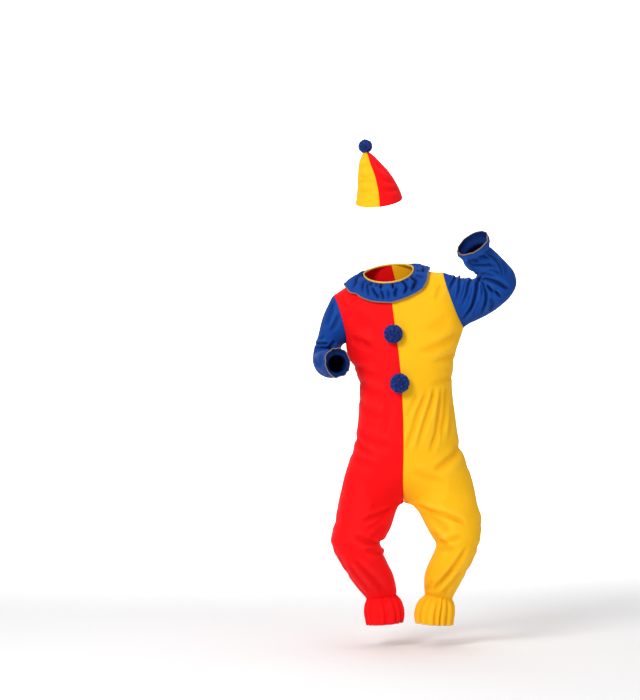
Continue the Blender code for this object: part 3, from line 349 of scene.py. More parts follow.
BODY_FOLDS = (
    Fold("gold drape 1", ((97, -460), (87, -495), (70, -524), (55, -567)), 8, 3.2),
    Fold("gold drape 2", ((136, -446), (125, -486), (104, -533), (82, -605), (61, -661),
                          (52, -703)), 10, 5),
    Fold("gold drape 3", ((168, -440), (159, -474), (146, -516), (129, -567), (108, -635),
                          (95, -699)), 10, 5.6),
    Fold("gold drape 4", ((191, -444), (187, -479), (180, -542), (172, -610), (155, -657),
                          (142, -704)), 10, 5.6),
    Fold("gold drape 5", ((211, -438), (207, -474), (203, -542), (194, -602), (186, -670)), 9, 5),
    Fold("gold drape 6", ((229, -494), (225, -568), (219, -642)), 8, 3.6),
    Fold("gold hip notch", ((272, -676), (231, -702), (190, -736), (149, -754)), 14, 6),
    Fold("gold underarm", ((265, -233), (216, -270), (149, -300), (90, -311)), 14, 4.5),
    Fold("gold underarm low", ((246, -315), (209, -337), (157, -352)), 11, 3.2),
    Fold("gold waist nip", ((232, -404), (194, -423), (142, -431)), 11, 3.2),
    Fold("gold belly", ((72, -752), (132, -781), (206, -788)), 16, 2.6),
    Fold("gold crotch crease", ((85, -881), (132, -900), (206, -921), (256, -939), (283, -958)), 9, 8),
    Fold("gold crotch soft", ((109, -904), (151, -923), (198, -966), (229, -997)), 14, 4),
    Fold("gold inner knee", ((151, -975), (179, -1013), (212, -1039)), 10, 4.5),
    Fold("gold knee notch", ((173, -1024), (206, -1015), (243, -1000), (269, -993)), 11, 6.5),
    Fold("gold knee low", ((173, -1045), (206, -1041), (243, -1045)), 11, 5),
    Fold("gold shin 1", ((285, -1023), (258, -1070), (223, -1124), (176, -1186), (152, -1214)), 10, 6),
    Fold("gold shin 2", ((235, -1093), (207, -1140), (169, -1179), (140, -1204)), 9, 4.2),
    Fold("gold shin 3", ((263, -1118), (243, -1149), (204, -1196), (189, -1220)), 9, 5),
    Fold("gold shin 4", ((161, -1157), (142, -1188), (130, -1208)), 8, 3.6),
    Fold("gold shin 5", ((253, -1163), (234, -1197), (219, -1223)), 8, 3.4),
    Fold("gold shin side", ((313, -1060), (298, -1097), (276, -1142)), 9, 3.6),
    Fold("red waist 1", ((-109, -429), (-68, -463), (-17, -485)), 14, 4.2),
    Fold("red waist 2", ((-114, -367), (-90, -389), (-46, -408)), 12, 4),
    Fold("red waist 3", ((-120, -493), (-90, -530), (-53, -552), (-1, -567)), 14, 4),
    Fold("red belly", ((-124, -596), (-83, -640), (-31, -662), (13, -670)), 16, 4.2),
    Fold("red hip notch", ((-127, -641), (-98, -678), (-53, -704)), 12, 5),
    Fold("red hip low", ((-142, -693), (-98, -730), (-38, -752)), 14, 4.2),
    Fold("red drape", ((-9, -492), (-24, -566), (-35, -640)), 12, 3),
    Fold("red side fold", ((-112, -263), (-90, -293), (-53, -311)), 9, 2.8),
    Fold("red underarm", ((-149, -263), (-104, -285), (-45, -296)), 14, 4.5),
    Fold("red crotch 1", ((23, -883), (-28, -911), (-78, -927), (-113, -942)), 9, 6),
    Fold("red crotch 2", ((-2, -909), (-54, -949), (-91, -964)), 10, 4),
    Fold("red crotch 3", ((-17, -946), (-54, -983), (-84, -1001)), 12, 3),
    Fold("red knee notch", ((-38, -1024), (-75, -1015), (-112, -1000), (-138, -993)), 11, 6.5),
    Fold("red knee low", ((-27, -1063), (-61, -1048), (-98, -1045)), 10, 5),
    Fold("red shin 1", ((-144, -1078), (-117, -1105), (-77, -1148), (-38, -1186), (-7, -1214)), 10, 6),
    Fold("red shin 2", ((-163, -1086), (-132, -1133), (-97, -1180), (-73, -1211)), 9, 4.8),
    Fold("red shin 3", ((-77, -1164), (-42, -1199), (-27, -1220)), 8, 4),
    Fold("red shin 4", ((-142, -1159), (-116, -1192), (-90, -1218)), 8, 3.4),
    Fold("red shin side", ((-194, -1060), (-179, -1097), (-153, -1138)), 9, 3.6),
    Fold("red chest", ((-142, -159), (-105, -204), (-53, -226)), 18, 2.2),
    Fold("gold chest", ((217, -167), (176, -211), (125, -233)), 18, 2.2),
    Fold("gold shoulder", ((189, -58), (178, -92), (163, -129)), 10, 3),
    Fold("red shoulder", ((-190, -110), (-175, -140), (-152, -166)), 10, 3),
) + seen_from(Face.BACK, (
    Fold("back yoke red", ((-120, -150), (-60, -190), (10, -200)), 16, 3.5),
    Fold("back yoke gold", ((200, -120), (140, -170), (60, -190)), 16, 3.5),
    Fold("shoulder blade gold", ((250, -240), (190, -290), (130, -330)), 18, 5.5),
    Fold("shoulder blade red", ((-150, -290), (-90, -320), (-30, -360)), 18, 5.5),
    Fold("back waist gold 1", ((232, -405), (170, -440), (95, -500)), 15, 5.5),
    Fold("back waist gold 2", ((230, -440), (180, -480), (120, -520)), 12, 4),
    Fold("back waist red 1", ((-108, -410), (-50, -450), (22, -505)), 15, 5.5),
    Fold("back waist red 2", ((-112, -450), (-70, -485), (-10, -520)), 12, 4),
    Fold("back drape gold 1", ((116, -530), (102, -606), (90, -672)), 11, 3.6),
    Fold("back drape gold 2", ((158, -492), (147, -580), (128, -722)), 12, 5),
    Fold("back drape gold 3", ((200, -512), (190, -580), (186, -652)), 9, 3.8),
    Fold("back drape red 1", ((2, -548), (-2, -600), (-4, -664)), 10, 3.4),
    Fold("back drape red 2", ((-44, -488), (-40, -596), (-22, -730)), 12, 5),
    Fold("back drape red 3", ((-88, -520), (-82, -588), (-78, -640)), 9, 3.6),
    Fold("seat gold", ((128, -868), (200, -878), (290, -900)), 15, 6),
    Fold("seat red", ((-20, -866), (-90, -876), (-160, -900)), 15, 6),
    Fold("seat gold low", ((120, -910), (190, -930), (270, -935)), 13, 5),
    Fold("seat red low", ((-2, -910), (-70, -930), (-140, -935)), 13, 5),
    Fold("back knee gold 1", ((165, -1030), (240, -1016), (318, -1014)), 12, 8),
    Fold("back knee gold 2", ((168, -1048), (235, -1060), (300, -1086)), 11, 6),
    Fold("back knee gold 3", ((200, -1000), (260, -990), (320, -986)), 11, 5),
    Fold("back knee red 1", ((-30, -1030), (-110, -1016), (-208, -1016)), 12, 8),
    Fold("back knee red 2", ((-26, -1050), (-100, -1062), (-180, -1092)), 11, 6),
    Fold("back knee red 3", ((-50, -1000), (-120, -990), (-200, -986)), 11, 5),
    Fold("back calf gold 1", ((292, -1105), (220, -1150), (155, -1200)), 11, 5),
    Fold("back calf gold 2", ((270, -1150), (220, -1185), (190, -1215)), 9, 4),
    Fold("back calf red 1", ((-165, -1112), (-80, -1155), (-5, -1200)), 11, 5),
    Fold("back calf red 2", ((-130, -1155), (-80, -1188), (-50, -1215)), 9, 4),
)) + seen_from(Face.RIGHT, (
    Fold("right waist nip 1", ((-70, -380), (0, -368), (60, -376)), 9, 2.5),
    Fold("right waist nip 2", ((-70, -420), (10, -432), (70, -424)), 10, 2.8),
    Fold("right waist nip 3", ((-60, -505), (10, -494), (70, -510)), 12, 2.2),
    Fold("right hip nip", ((-80, -652), (0, -640), (80, -660)), 11, 3.3),
    Fold("right hip nip low", ((-70, -700), (10, -694), (80, -716)), 12, 2.5),
    Fold("right thigh side", ((-110, -930), (-40, -950), (30, -940)), 14, 2.2),
    Fold("right knee side", ((-140, -1045), (-90, -1040), (-30, -1060)), 12, 2.8),
    Fold("right calf side", ((-130, -1120), (-80, -1140), (-20, -1130)), 10, 2.2),
), within=(-999, -60)) + seen_from(Face.LEFT, (
    Fold("red inner knee notch", ((-160, -1022), (-80, -1021), (10, -1026)), 7, 4.5),
    Fold("red inner knee roll", ((-160, -1050), (-80, -1052), (10, -1048)), 10, -7),
), within=(-150, 60)) + seen_from(Face.LEFT, (
    Fold("left rib nip", ((-70, -352), (0, -345), (60, -360)), 10, 2.2),
    Fold("left waist nip", ((-80, -420), (0, -410), (70, -425)), 11, 2.5),
    Fold("left hip notch", ((-90, -684), (-20, -672), (60, -690)), 12, 3.9),
    Fold("left hip soft", ((-80, -730), (0, -745), (70, -738)), 14, 2.2),
    Fold("left thigh side", ((-110, -948), (-40, -960), (30, -950)), 13, 2.8),
    Fold("left knee side", ((-150, -1046), (-90, -1040), (-30, -1062)), 12, 3.3),
    Fold("left calf side", ((-130, -1118), (-80, -1130), (-20, -1142)), 10, 2.5),
), within=(100, 999))

SLEEVE_FOLDS = (
    Fold("fan 1", ((250, -20), (248, -32), (236, -46), (223, -70), (216, -98)),
         5.5, 7, 0.6, (0.08, 0.4)),
    Fold("fan 2", ((268, -24), (265, -38), (256, -51), (252, -81), (243, -116), (234, -140)),
         4.5, 6, 0.6, (0.08, 0.45)),
    Fold("fan 3", ((318, -24), (313, -37), (298, -46), (286, -69), (281, -93), (267, -131),
                   (252, -160)), 5, 7, 0.6, (0.08, 0.4)),
    Fold("fan 4", ((328, -32), (325, -46), (318, -61), (316, -81), (311, -107), (303, -138),
                   (293, -160), (272, -187), (262, -202)), 5.5, 9.5, 0.6, (0.08, 0.3)),
    Fold("fan 5", ((331, -60), (336, -78), (337, -95), (332, -114)), 3.6, 5, 0.4, (0.2, 0.4)),
    Fold("fan 6", ((335, -48), (343, -74), (349, -93), (352, -117), (348, -140), (338, -166),
                   (331, -182)), 5, 8, 0.3, (0.12, 0.35)),
    Fold("elbow pocket 1", ((352, -67), (360, -77), (370, -88), (384, -99)), 5, 10, 0.0, (0.2, 0.35)),
    Fold("elbow pocket 2", ((382, -90), (390, -97), (398, -106), (412, -116)), 4.5, 9, 0.0, (0.2, 0.35)),
    Fold("elbow low", ((362, -112), (374, -138), (366, -171)), 8, 4),
    Fold("forearm fold 1", ((330, -44), (362, -51), (398, -65), (424, -80), (440, -86)),
         7, 8, 0.2, (0.15, 0.3)),
    Fold("forearm fold 2", ((292, 12), (308, 2), (338, 2), (367, 2), (394, -6)),
         5.5, 6, 0.2, (0.2, 0.4)),
    Fold("forearm fold 3", ((282, 34), (285, 18), (295, -2), (312, -16)), 5.5, 5, 0.3),
    Fold("forearm fold 4", ((348, 44), (372, 34), (394, 10), (406, -18), (414, -48)), 5, 4.5),
    Fold("forearm fold 5", ((312, 36), (334, 36), (358, 26)), 5, 4.2),
    Fold("forearm fold 6", ((322, -28), (354, -32), (392, -42)), 7, 4.6, 0.2),
    Fold("forearm fold 7", ((400, 26), (416, -4), (426, -40)), 7, 3.4, 0.3),
    Fold("fan small 1", ((284, -30), (277, -60), (263, -100), (252, -128)), 3.5, 2.6, 0.4),
    Fold("fan small 2", ((302, -66), (294, -98), (283, -135)), 3.5, 2.6),
    Fold("fan small 3", ((231, -22), (224, -42), (212, -66)), 3.2, 2.6, 0.5),
    Fold("fan small 4", ((326, -120), (316, -148), (300, -182)), 4, 2.6),
    Fold("fan small 5", ((283, -22), (276, -36), (270, -58)), 3.4, 3.2, 0.6),
    Fold("fan small 6", ((298, -24), (292, -36), (280, -54)), 3.2, 2.6, 0.6),
    Fold("forearm small 1", ((304, 20), (322, 14), (345, 14)), 3.5, 2.4),
    Fold("forearm small 2", ((336, 24), (356, 12), (372, -10)), 4, 2.2),
    Fold("forearm small 3", ((345, -14), (380, -18), (410, -34)), 4.5, 3),
    Fold("right arm 1", ((-212, -121), (-225, -173), (-240, -225)), 9, 4),
    Fold("right arm 2", ((-192, -166), (-205, -207), (-227, -244)), 8, 3.6),
    Fold("right arm 3", ((-234, -143), (-251, -195), (-264, -244)), 8, 3.2),
    Fold("right elbow crease", ((-287, -290), (-264, -284), (-240, -286), (-223, -281)),
         5, 7, 0.4, (0.1, 0.4)),
    Fold("right elbow low", ((-283, -302), (-261, -300), (-238, -296)), 5, 3.5, 0.3),
    Fold("right elbow inner", ((-206, -271), (-217, -288), (-234, -304)), 7, 6.5),
    Fold("right forearm 1", ((-283, -330), (-268, -359), (-249, -378)), 8, 4),
    Fold("right forearm 2", ((-257, -315), (-257, -345), (-246, -367)), 8, 3.6),
    Fold("right forearm 3", ((-281, -378), (-261, -393), (-238, -404)), 7, 4.2),
    Fold("right arm small", ((-243, -250), (-256, -262), (-272, -268)), 5, 3, 0.3),
    Fold("forearm puff", ((273, 34), (275, 14), (286, -6), (304, -22)), 13, -6.5, 1.1, (0.2, 0.3)),
    Fold("upper arm puff 1", ((260, -24), (258, -30), (254, -40)), 5, -4, 1.1, (0.3, 0.4)),
    Fold("upper arm puff 2", ((296, -27), (292, -36), (285, -50)), 6, -3.5, 1.1, (0.3, 0.4)),
    Fold("upper arm puff 3", ((326, -26), (324, -36), (320, -52)), 4.5, -3.5, 1.1, (0.3, 0.4)),
) + seen_from(Face.BACK, (
    Fold("back fan 1", ((318, -44), (280, -90), (245, -150)), 9, 5),
    Fold("back fan 2", ((322, -46), (308, -110), (296, -185)), 9, 6),
    Fold("back fan 3", ((326, -44), (350, -100), (368, -150)), 10, 6),
    Fold("back elbow", ((332, -40), (380, -50), (432, -60)), 9, 6),
    Fold("back forearm 1", ((300, 4), (350, 10), (405, 20)), 9, 4.5),
    Fold("back forearm 2", ((284, 26), (330, 40), (380, 56)), 8, 3.5),
    Fold("back arm red 1", ((-172, -240), (-215, -255), (-262, -280)), 9, 5),
    Fold("back arm red 2", ((-180, -290), (-225, -305), (-278, -335)), 9, 5.5),
    Fold("back arm red 3", ((-200, -170), (-225, -200), (-250, -240)), 9, 4),
))

HAT_FOLDS = (
    Fold("hat gold 1", ((-112, 372), (-92, 382), (-74, 386)), 7, 2.5),
    Fold("hat gold 2", ((-117, 345), (-90, 338), (-60, 350)), 8, 3),
    Fold("hat gold 3", ((-119, 318), (-86, 322), (-50, 312)), 8, 3),
    Fold("hat gold 4", ((-122, 290), (-90, 282), (-54, 288)), 8, 2.5),
    Fold("hat red 1", ((-56, 392), (-36, 372), (-20, 350)), 8, 2),
    Fold("hat red 2", ((-38, 330), (-8, 318), (20, 312)), 9, 2.5),
    Fold("hat red 3", ((-34, 290), (4, 284), (38, 292)), 9, 2.5),
) + seen_from(Face.BACK, (
    Fold("hat back 1", ((-112, 340), (-60, 330), (-6, 345)), 9, 3),
    Fold("hat back 2", ((-118, 296), (-50, 304), (24, 292)), 9, 3),
    Fold("hat back 3", ((-108, 380), (-72, 372), (-40, 384)), 8, 2.5),
))


def mm(values: Sequence[float]) -> np.ndarray:
    """Table entry in millimetres as an array in metres."""
    return np.array(values, float) * MM


def catmull(p0: np.ndarray, p1: np.ndarray, p2: np.ndarray, p3: np.ndarray, t: float) -> np.ndarray:
    """Point of the smooth curve between p1 and p2."""
    return 0.5 * (2.0 * p1 + (p2 - p0) * t + (2.0 * p0 - 5.0 * p1 + 4.0 * p2 - p3) * t * t
                  + (3.0 * p1 - p0 - 3.0 * p2 + p3) * t ** 3)


def soft_step(value: np.ndarray) -> np.ndarray:
    """Smooth rise from 0 to 1."""
    value = np.clip(value, 0.0, 1.0)
    return value * value * (3.0 - 2.0 * value)


def bell(value: np.ndarray) -> np.ndarray:
    """Bell curve, 1 at 0 and nearly 0 past 2."""
    return np.exp(-value ** 2)


def soften_rows(points: np.ndarray, rounds: int) -> np.ndarray:
    """Evens out the bends from row to row, with the first and the last row kept.

    Args:
        points: Rows and columns of points.
        rounds: How often they are evened out.

    Returns:
        The evened points.
    """
    even = points.copy()
    for _ in range(rounds):
        even[1:-1] = 0.25 * even[:-2] + 0.5 * even[1:-1] + 0.25 * even[2:]
    return even


def point_keys(points: np.ndarray) -> np.ndarray:
    """Whole numbers that are the same where two pieces have the same point."""
    return np.round(points * KEY_FINENESS + KEY_SHIFT).astype(np.int64)


def unit(vectors: np.ndarray) -> np.ndarray:
    """Vectors brought to length 1."""
    return vectors / np.maximum(np.linalg.norm(vectors, axis=-1, keepdims=True), 1e-12)


def linear(code: str) -> tuple:
    """Colour code such as FF1A22 as linear red, green and blue with full cover."""
    parts = [int(code[k:k + 2], 16) / 255.0 for k in (0, 2, 4)]
    return tuple(p / 12.92 if p <= 0.04045 else ((p + 0.055) / 1.055) ** 2.4 for p in parts) + (1.0,)


class Value:
    """Number that a finish works out, with Python's operators for its Math nodes."""

    def __init__(self, shader: "Shader", socket: bpy.types.NodeSocket) -> None:
        """Wraps a socket of a shader."""
        self.shader = shader
        self.socket = socket

    def __add__(self, other: Any) -> "Value":
        """Sum."""
        return self.shader.math("ADD", self, other)

    def __radd__(self, other: Any) -> "Value":
        """Sum with a number on the left."""
        return self.shader.math("ADD", other, self)

    def __sub__(self, other: Any) -> "Value":
        """Difference."""
        return self.shader.math("SUBTRACT", self, other)

    def __rsub__(self, other: Any) -> "Value":
        """Difference from a number on the left."""
        return self.shader.math("SUBTRACT", other, self)

    def __mul__(self, other: Any) -> "Value":
        """Product."""
        return self.shader.math("MULTIPLY", self, other)

    def __truediv__(self, other: Any) -> "Value":
        """Quotient."""
        return self.shader.math("DIVIDE", self, other)

    def sine(self) -> "Value":
        """Sine."""
        return self.shader.math("SINE", self)

    def wave(self) -> "Value":
        """Sine of a number of whole turns."""
        return (self * math.tau).sine()

    def fraction(self) -> "Value":
        """Part after the point."""
        return self.shader.math("FRACT", self)

    def size(self) -> "Value":
        """Value without its sign."""
        return self.shader.math("ABSOLUTE", self)

    def below(self, limit: float) -> "Value":
        """1 where the value is under the limit, else 0."""
        return self.shader.math("LESS_THAN", self, limit)

    def clamped(self) -> "Value":
        """Value kept between 0 and 1."""
        return self.shader.math("MULTIPLY", self, 1.0, clamp=True)


class Shader:
    """Node tree of one finish, built from expressions."""

    def __init__(self, name: str) -> None:
        """Starts a material whose principled shader takes the finish.

        Args:
            name: Name of the material.
        """
        self.material = bpy.data.materials.new(name)
        self.material.use_nodes = True
        self.tree = self.material.node_tree
        self.surface = self.tree.nodes["Principled BSDF"]

    def node(self, kind: str, settings: Optional[dict] = None,
             values: Optional[dict] = None) -> bpy.types.Node:
        """Adds a node.

        Args:
            kind: The node's type.
            settings: Properties that are set first.
            values: Values or links by socket name or number.

        Returns:
            The new node.
        """
        made = self.tree.nodes.new(kind)
        for name, setting in (settings or {}).items():
            setattr(made, name, setting)
        for place, value in (values or {}).items():
            self.feed(made.inputs[place], value)
        return made

    def feed(self, socket: bpy.types.NodeSocket, value: Any) -> None:
        """Sets or links a socket.

        Args:
            socket: Input that gets it.
            value: Number, colour, worked-out value or another node's socket.
        """
        if isinstance(value, Value):
            self.tree.links.new(value.socket, socket)
        elif isinstance(value, bpy.types.NodeSocket):
            self.tree.links.new(value, socket)
        else:
            socket.default_value = value

    def math(self, operation: str, *values: Any, clamp: bool = False) -> Value:
        """Adds a Math node.

        Args:
            operation: The node's operation.
            values: Its values or links.
            clamp: Whether the result is kept between 0 and 1.

        Returns:
            The result.
        """
        made = self.node("ShaderNodeMath", {"operation": operation, "use_clamp": clamp},
                         dict(enumerate(values)))
        return Value(self, made.outputs[0])

    def mix(self, share: Any, first: Any, second: Any) -> bpy.types.NodeSocket:
        """Mixes two colours by the share of the second one and returns the socket."""
        made = self.node("ShaderNodeMix", {"data_type": "RGBA"}, {0: share, 6: first, 7: second})
        return made.outputs[2]

    def attribute(self, name: str) -> Value:
        """Number stored on the cloth's points under a name."""
        return Value(self, self.node("ShaderNodeAttribute", {"attribute_name": name}).outputs["Fac"])

    def flat_place(self, name: str) -> tuple:
        """Place on the flat cloth in metres, across and along, from a UV map.

        Args:
            name: Name of the UV map.

        Returns:
            Place across and place along.
        """
        made = self.node("ShaderNodeUVMap", {"uv_map": name})
        split = self.node("ShaderNodeSeparateXYZ", None, {0: made.outputs[0]})
        return Value(self, split.outputs[0]), Value(self, split.outputs[1])

    def noise(self, scale: float, detail: float) -> Value:
        """Cloudy pattern on the object's own coordinates.

        Args:
            scale: How fine the pattern is.
            detail: Number of finer layers.

        Returns:
            The pattern, about 0.5 on average.
        """
        place = self.node("ShaderNodeTexCoord").outputs["Object"]
        made = self.node("ShaderNodeTexNoise", None,
                         {"Vector": place, "Scale": scale, "Detail": detail})
        return Value(self, made.outputs["Fac"])

    def bump(self, height: Any, distance: float, strength: float,
             under: Optional[bpy.types.NodeSocket] = None) -> bpy.types.NodeSocket:
        """Turns a height into a normal.

        Args:
            height: Height from 0 to 1.
            distance: Real height in metres.
            strength: Share that is used.
            under: Normal of a coarser bump below this one.

        Returns:
            The normal's socket.
        """
        values = {"Height": height, "Distance": distance, "Strength": strength}
        if under is not None:
            values["Normal"] = under
        return self.node("ShaderNodeBump", None, values).outputs[0]

    def finish(self, colour: Any, roughness: Any, normal: Any, **fixed: Any) -> bpy.types.Material:
        """Feeds the principled shader.

        Args:
            colour: Base colour or link.
            roughness: Roughness or link.
            normal: Link to the normal, or None.
            fixed: Values for other sockets, with underscores for spaces.

        Returns:
            The finished material.
        """
        self.feed(self.surface.inputs["Base Color"], colour)
        self.feed(self.surface.inputs["Roughness"], roughness)
        if normal is not None:
            self.feed(self.surface.inputs["Normal"], normal)
        for name, value in fixed.items():
            self.surface.inputs[name.replace("_", " ")].default_value = value
        return self.material


@dataclass(frozen=True)
class KnitFinish:
    """Smooth polyester knit: fine ribs of stitches, soft sheen, painted shade in its folds and a painted
    highlight on their ridges.
    """

    name: str
    colour: tuple
    # deep: colour of the painted shade in folds and on the wrong side, and of seam ditches and
    # topstitches
    deep: tuple
    # colour of the wear along the hem and of the painted highlight on the ridges of folds
    wear_and_highlight: tuple
    painted_crease_shade: float = 0.75
    crest_highlight: float = 0.35
    inside_and_shade: float = 0.35
    clouding: float = 0.12
    roughness: float = 0.62
    sheen: float = 0.02
    wale: float = 0.9 * MM
    course: float = 0.7 * MM
    relief: float = 0.16 * MM
    ditch_mm: float = 1.6
    hem_row_mm: float = 7.0
    hem_stitch: float = 3.2 * MM
    seam_pull: float = 5.5 * MM
    seam_pull_mm: float = 7.0
    seam_relief: float = 0.7 * MM

    def material(self, wrong_side: bool = False) -> bpy.types.Material:
        """Builds the finish.

        Args:
            wrong_side: Whether it is the inner face of the cloth, a little duller in its own colour and
                darkened further by painted shade.

        Returns:
            The material.
        """
        shader = Shader(self.name + ("_wrong_side" if wrong_side else "_right_side"))
        across, along = shader.flat_place("cloth")
        crease = shader.attribute("crease")
        seam = shader.attribute("seam_mm")
        hem = shader.attribute("hem_mm")
        cloud = shader.noise(9.0, 4.0)
        fibre = shader.noise(900.0, 2.0)

        course = along / self.course
        chevron = (course.fraction() - 0.5).size() * 2.0
        wale = (across / self.wale + chevron * 0.35).wave()
        stitch = wale * 0.35 + course.wave() * 0.15 + 0.5

        ditch = (1.0 - seam / self.ditch_mm).clamped()
        row = ((hem - self.hem_row_mm).size() / 0.55).below(1.0)
        topstitch = row * (across / self.hem_stitch).fraction().below(0.72)
        # painted shade: folds darken towards the deep colour by their crease depth, mixed with a random
        # cloudy tone
        fold = (crease * self.painted_crease_shade + (cloud - 0.5) * self.clouding).clamped()
        colour = shader.mix(fold, self.colour, self.deep)
        # painted highlight: ridges, where the crease value is below zero, lighten towards the wear
        # colour
        colour = shader.mix((crease * -self.crest_highlight).clamped(), colour, self.wear_and_highlight)
        colour = shader.mix((ditch * 0.55 + topstitch * 0.18).clamped(), colour, self.deep)
        wear = ((1.0 - hem / 2.5).clamped() * 0.25 + (fibre - 0.5) * 0.10).clamped()
        colour = shader.mix(wear, colour, self.wear_and_highlight)
        # inner face: partly its own duller colour, partly painted shade of the hollows within sleeves,
        # cuffs and suit
        if wrong_side:
            colour = shader.mix(self.inside_and_shade, colour, self.deep)
        roughness = self.roughness + (cloud - 0.5) * 0.12 + ditch * 0.1
        normal = shader.bump(stitch, self.relief, 0.55)
        puckers = (along / self.seam_pull).wave() * (1.0 - seam / self.seam_pull_mm).clamped()
        sink = puckers * 0.18 - ditch * 0.5 - topstitch * 0.6 + 0.6
        normal = shader.bump(sink, self.seam_relief, 0.6, normal)
        sheen = self.sheen * (0.4 if wrong_side else 1.0)
        return shader.finish(colour, roughness, normal, Sheen_Weight=sheen, Sheen_Roughness=0.45,
                             Specular_IOR_Level=0.1)


@dataclass(frozen=True)
class OverlockFinish:
    """Thread wrapped round a cut edge, in close slanting turns."""

    name: str
    colour: tuple
    deep: tuple
    turn: float = 1.5 * MM
    slant: float = 6.0 * MM
    relief: float = 0.35 * MM

    def material(self) -> bpy.types.Material:
        """Builds the finish.

        Returns:
            The material.
        """
        shader = Shader(self.name)
        around, along = shader.flat_place("cloth")
        turn = (along / self.turn + around / self.slant).wave() * 0.5 + 0.5
        cloud = shader.noise(60.0, 2.0)
        colour = shader.mix((turn * 0.45 + (cloud - 0.5) * 0.5).clamped(), self.deep, self.colour)
        normal = shader.bump(turn, self.relief, 0.8)
        return shader.finish(colour, 0.68, normal, Sheen_Weight=0.15)


@dataclass(frozen=True)
class BindingFinish:
    """Folded knit band with a row of stitches along its lower edge."""

    name: str
    colour: tuple
    deep: tuple
    rib: float = 0.8 * MM
    stitch_row: float = 2.4 * MM
    thread: float = 0.45 * MM
    stitch: float = 2.8 * MM
    pull: float = 7.0 * MM
    relief: float = 0.5 * MM

    def material(self) -> bpy.types.Material:
        """Builds the finish.

        Returns:
            The material.
        """
        shader = Shader(self.name)
        around, along = shader.flat_place("cloth")
        rib = (around / self.rib).wave() * 0.5 + 0.5
        row = ((around - self.stitch_row).size() / self.thread).below(1.0)
        stitch = row * (along / self.stitch).fraction().below(0.7)
        pull = (along / self.pull).wave() * 0.5 + 0.5
        cloud = shader.noise(40.0, 3.0)
        share = (stitch * 0.5 + pull * 0.18 + (cloud - 0.5) * 0.4).clamped()
        colour = shader.mix(share, self.colour, self.deep)
        normal = shader.bump(rib * 0.2 + pull * 0.3 - stitch * 0.5 + 0.5, self.relief, 0.6)
        return shader.finish(colour, 0.6, normal, Sheen_Weight=0.2)


@dataclass(frozen=True)
class YarnFinish:
    """Cut wool-like yarn: matt strands, each a little lighter or darker, with painted shade towards the
    root within the ball.
    """

    name: str
    colour: tuple
    deep: tuple
    light: tuple
    fuzz_scale: float = 1400.0
    relief: float = 0.3 * MM

    def material(self) -> bpy.types.Material:
        """Builds the finish.

        Returns:
            The material.
        """
        shader = Shader(self.name)
        tone = shader.attribute("tone")
        reach = shader.attribute("reach")
        fuzz = shader.noise(self.fuzz_scale, 2.0)
        # painted shade: strands darken towards their roots, deep within the ball
        colour = shader.mix((reach * 1.5 - 0.45).clamped(), self.deep, self.colour)
        colour = shader.mix((tone * tone * 0.85 + (fuzz - 0.5) * 0.3).clamped(), colour, self.light)
        colour = shader.mix((0.64 - tone * 1.7).clamped(), colour, self.deep)
        normal = shader.bump(fuzz, self.relief, 0.7)
        return shader.finish(colour, 0.85, normal, Sheen_Weight=0.1, Sheen_Roughness=0.6,
                             Specular_IOR_Level=0.15)


@dataclass(frozen=True)
class PaperFinish:
    """Plain pale studio paper."""

    name: str
    colour: tuple
    shade: tuple = (0.7, 0.7, 0.72, 1.0)

    def material(self) -> bpy.types.Material:
        """Builds the finish.

        Returns:
            The material.
        """
        shader = Shader(self.name)
        cloud = shader.noise(2.0, 2.0)
        colour = shader.mix(cloud * 0.03, self.colour, self.shade)
        return shader.finish(colour, 0.9, None, Specular_IOR_Level=0.1)


@dataclass(frozen=True)
class Wardrobe:
    """All finishes of the suit and the hat."""

    # Each knit: its colour, the colour of its painted shade in folds and on the wrong side and of its
    # seam ditches and topstitches, and the colour of its wear and painted highlight on ridges
    red: KnitFinish = KnitFinish("red_knit", linear("F8060F"), linear("C00008"), linear("FF3A36"),
                                 painted_crease_shade=0.5)
    gold: KnitFinish = KnitFinish("gold_knit", linear("FABB14"), linear("EC9404"), linear("FFD850"),
                                  painted_crease_shade=0.62)
    blue: KnitFinish = KnitFinish("blue_knit", linear("083E90"), linear("040D3A"), linear("2460B4"),
                                  painted_crease_shade=0.95, crest_highlight=0.6, inside_and_shade=0.6)
    edge: OverlockFinish = OverlockFinish("tan_overlock", linear("BE9A72"), linear("7C5C40"))
    red_edge: OverlockFinish = OverlockFinish("red_overlock", linear("E8121A"), linear("9C060C"))
    gold_edge: OverlockFinish = OverlockFinish("gold_overlock", linear("F6BC20"), linear("C07A08"))
    binding: BindingFinish = BindingFinish("gold_binding", linear("F5CB48"), linear("B98420"))
    # Yarn: its colour, the colour of its painted shade towards the roots and of random darker strands,
    # and that of random lighter strands
    yarn: YarnFinish = YarnFinish("navy_yarn", linear("0A2E86"), linear("010618"), linear("2658C0"))


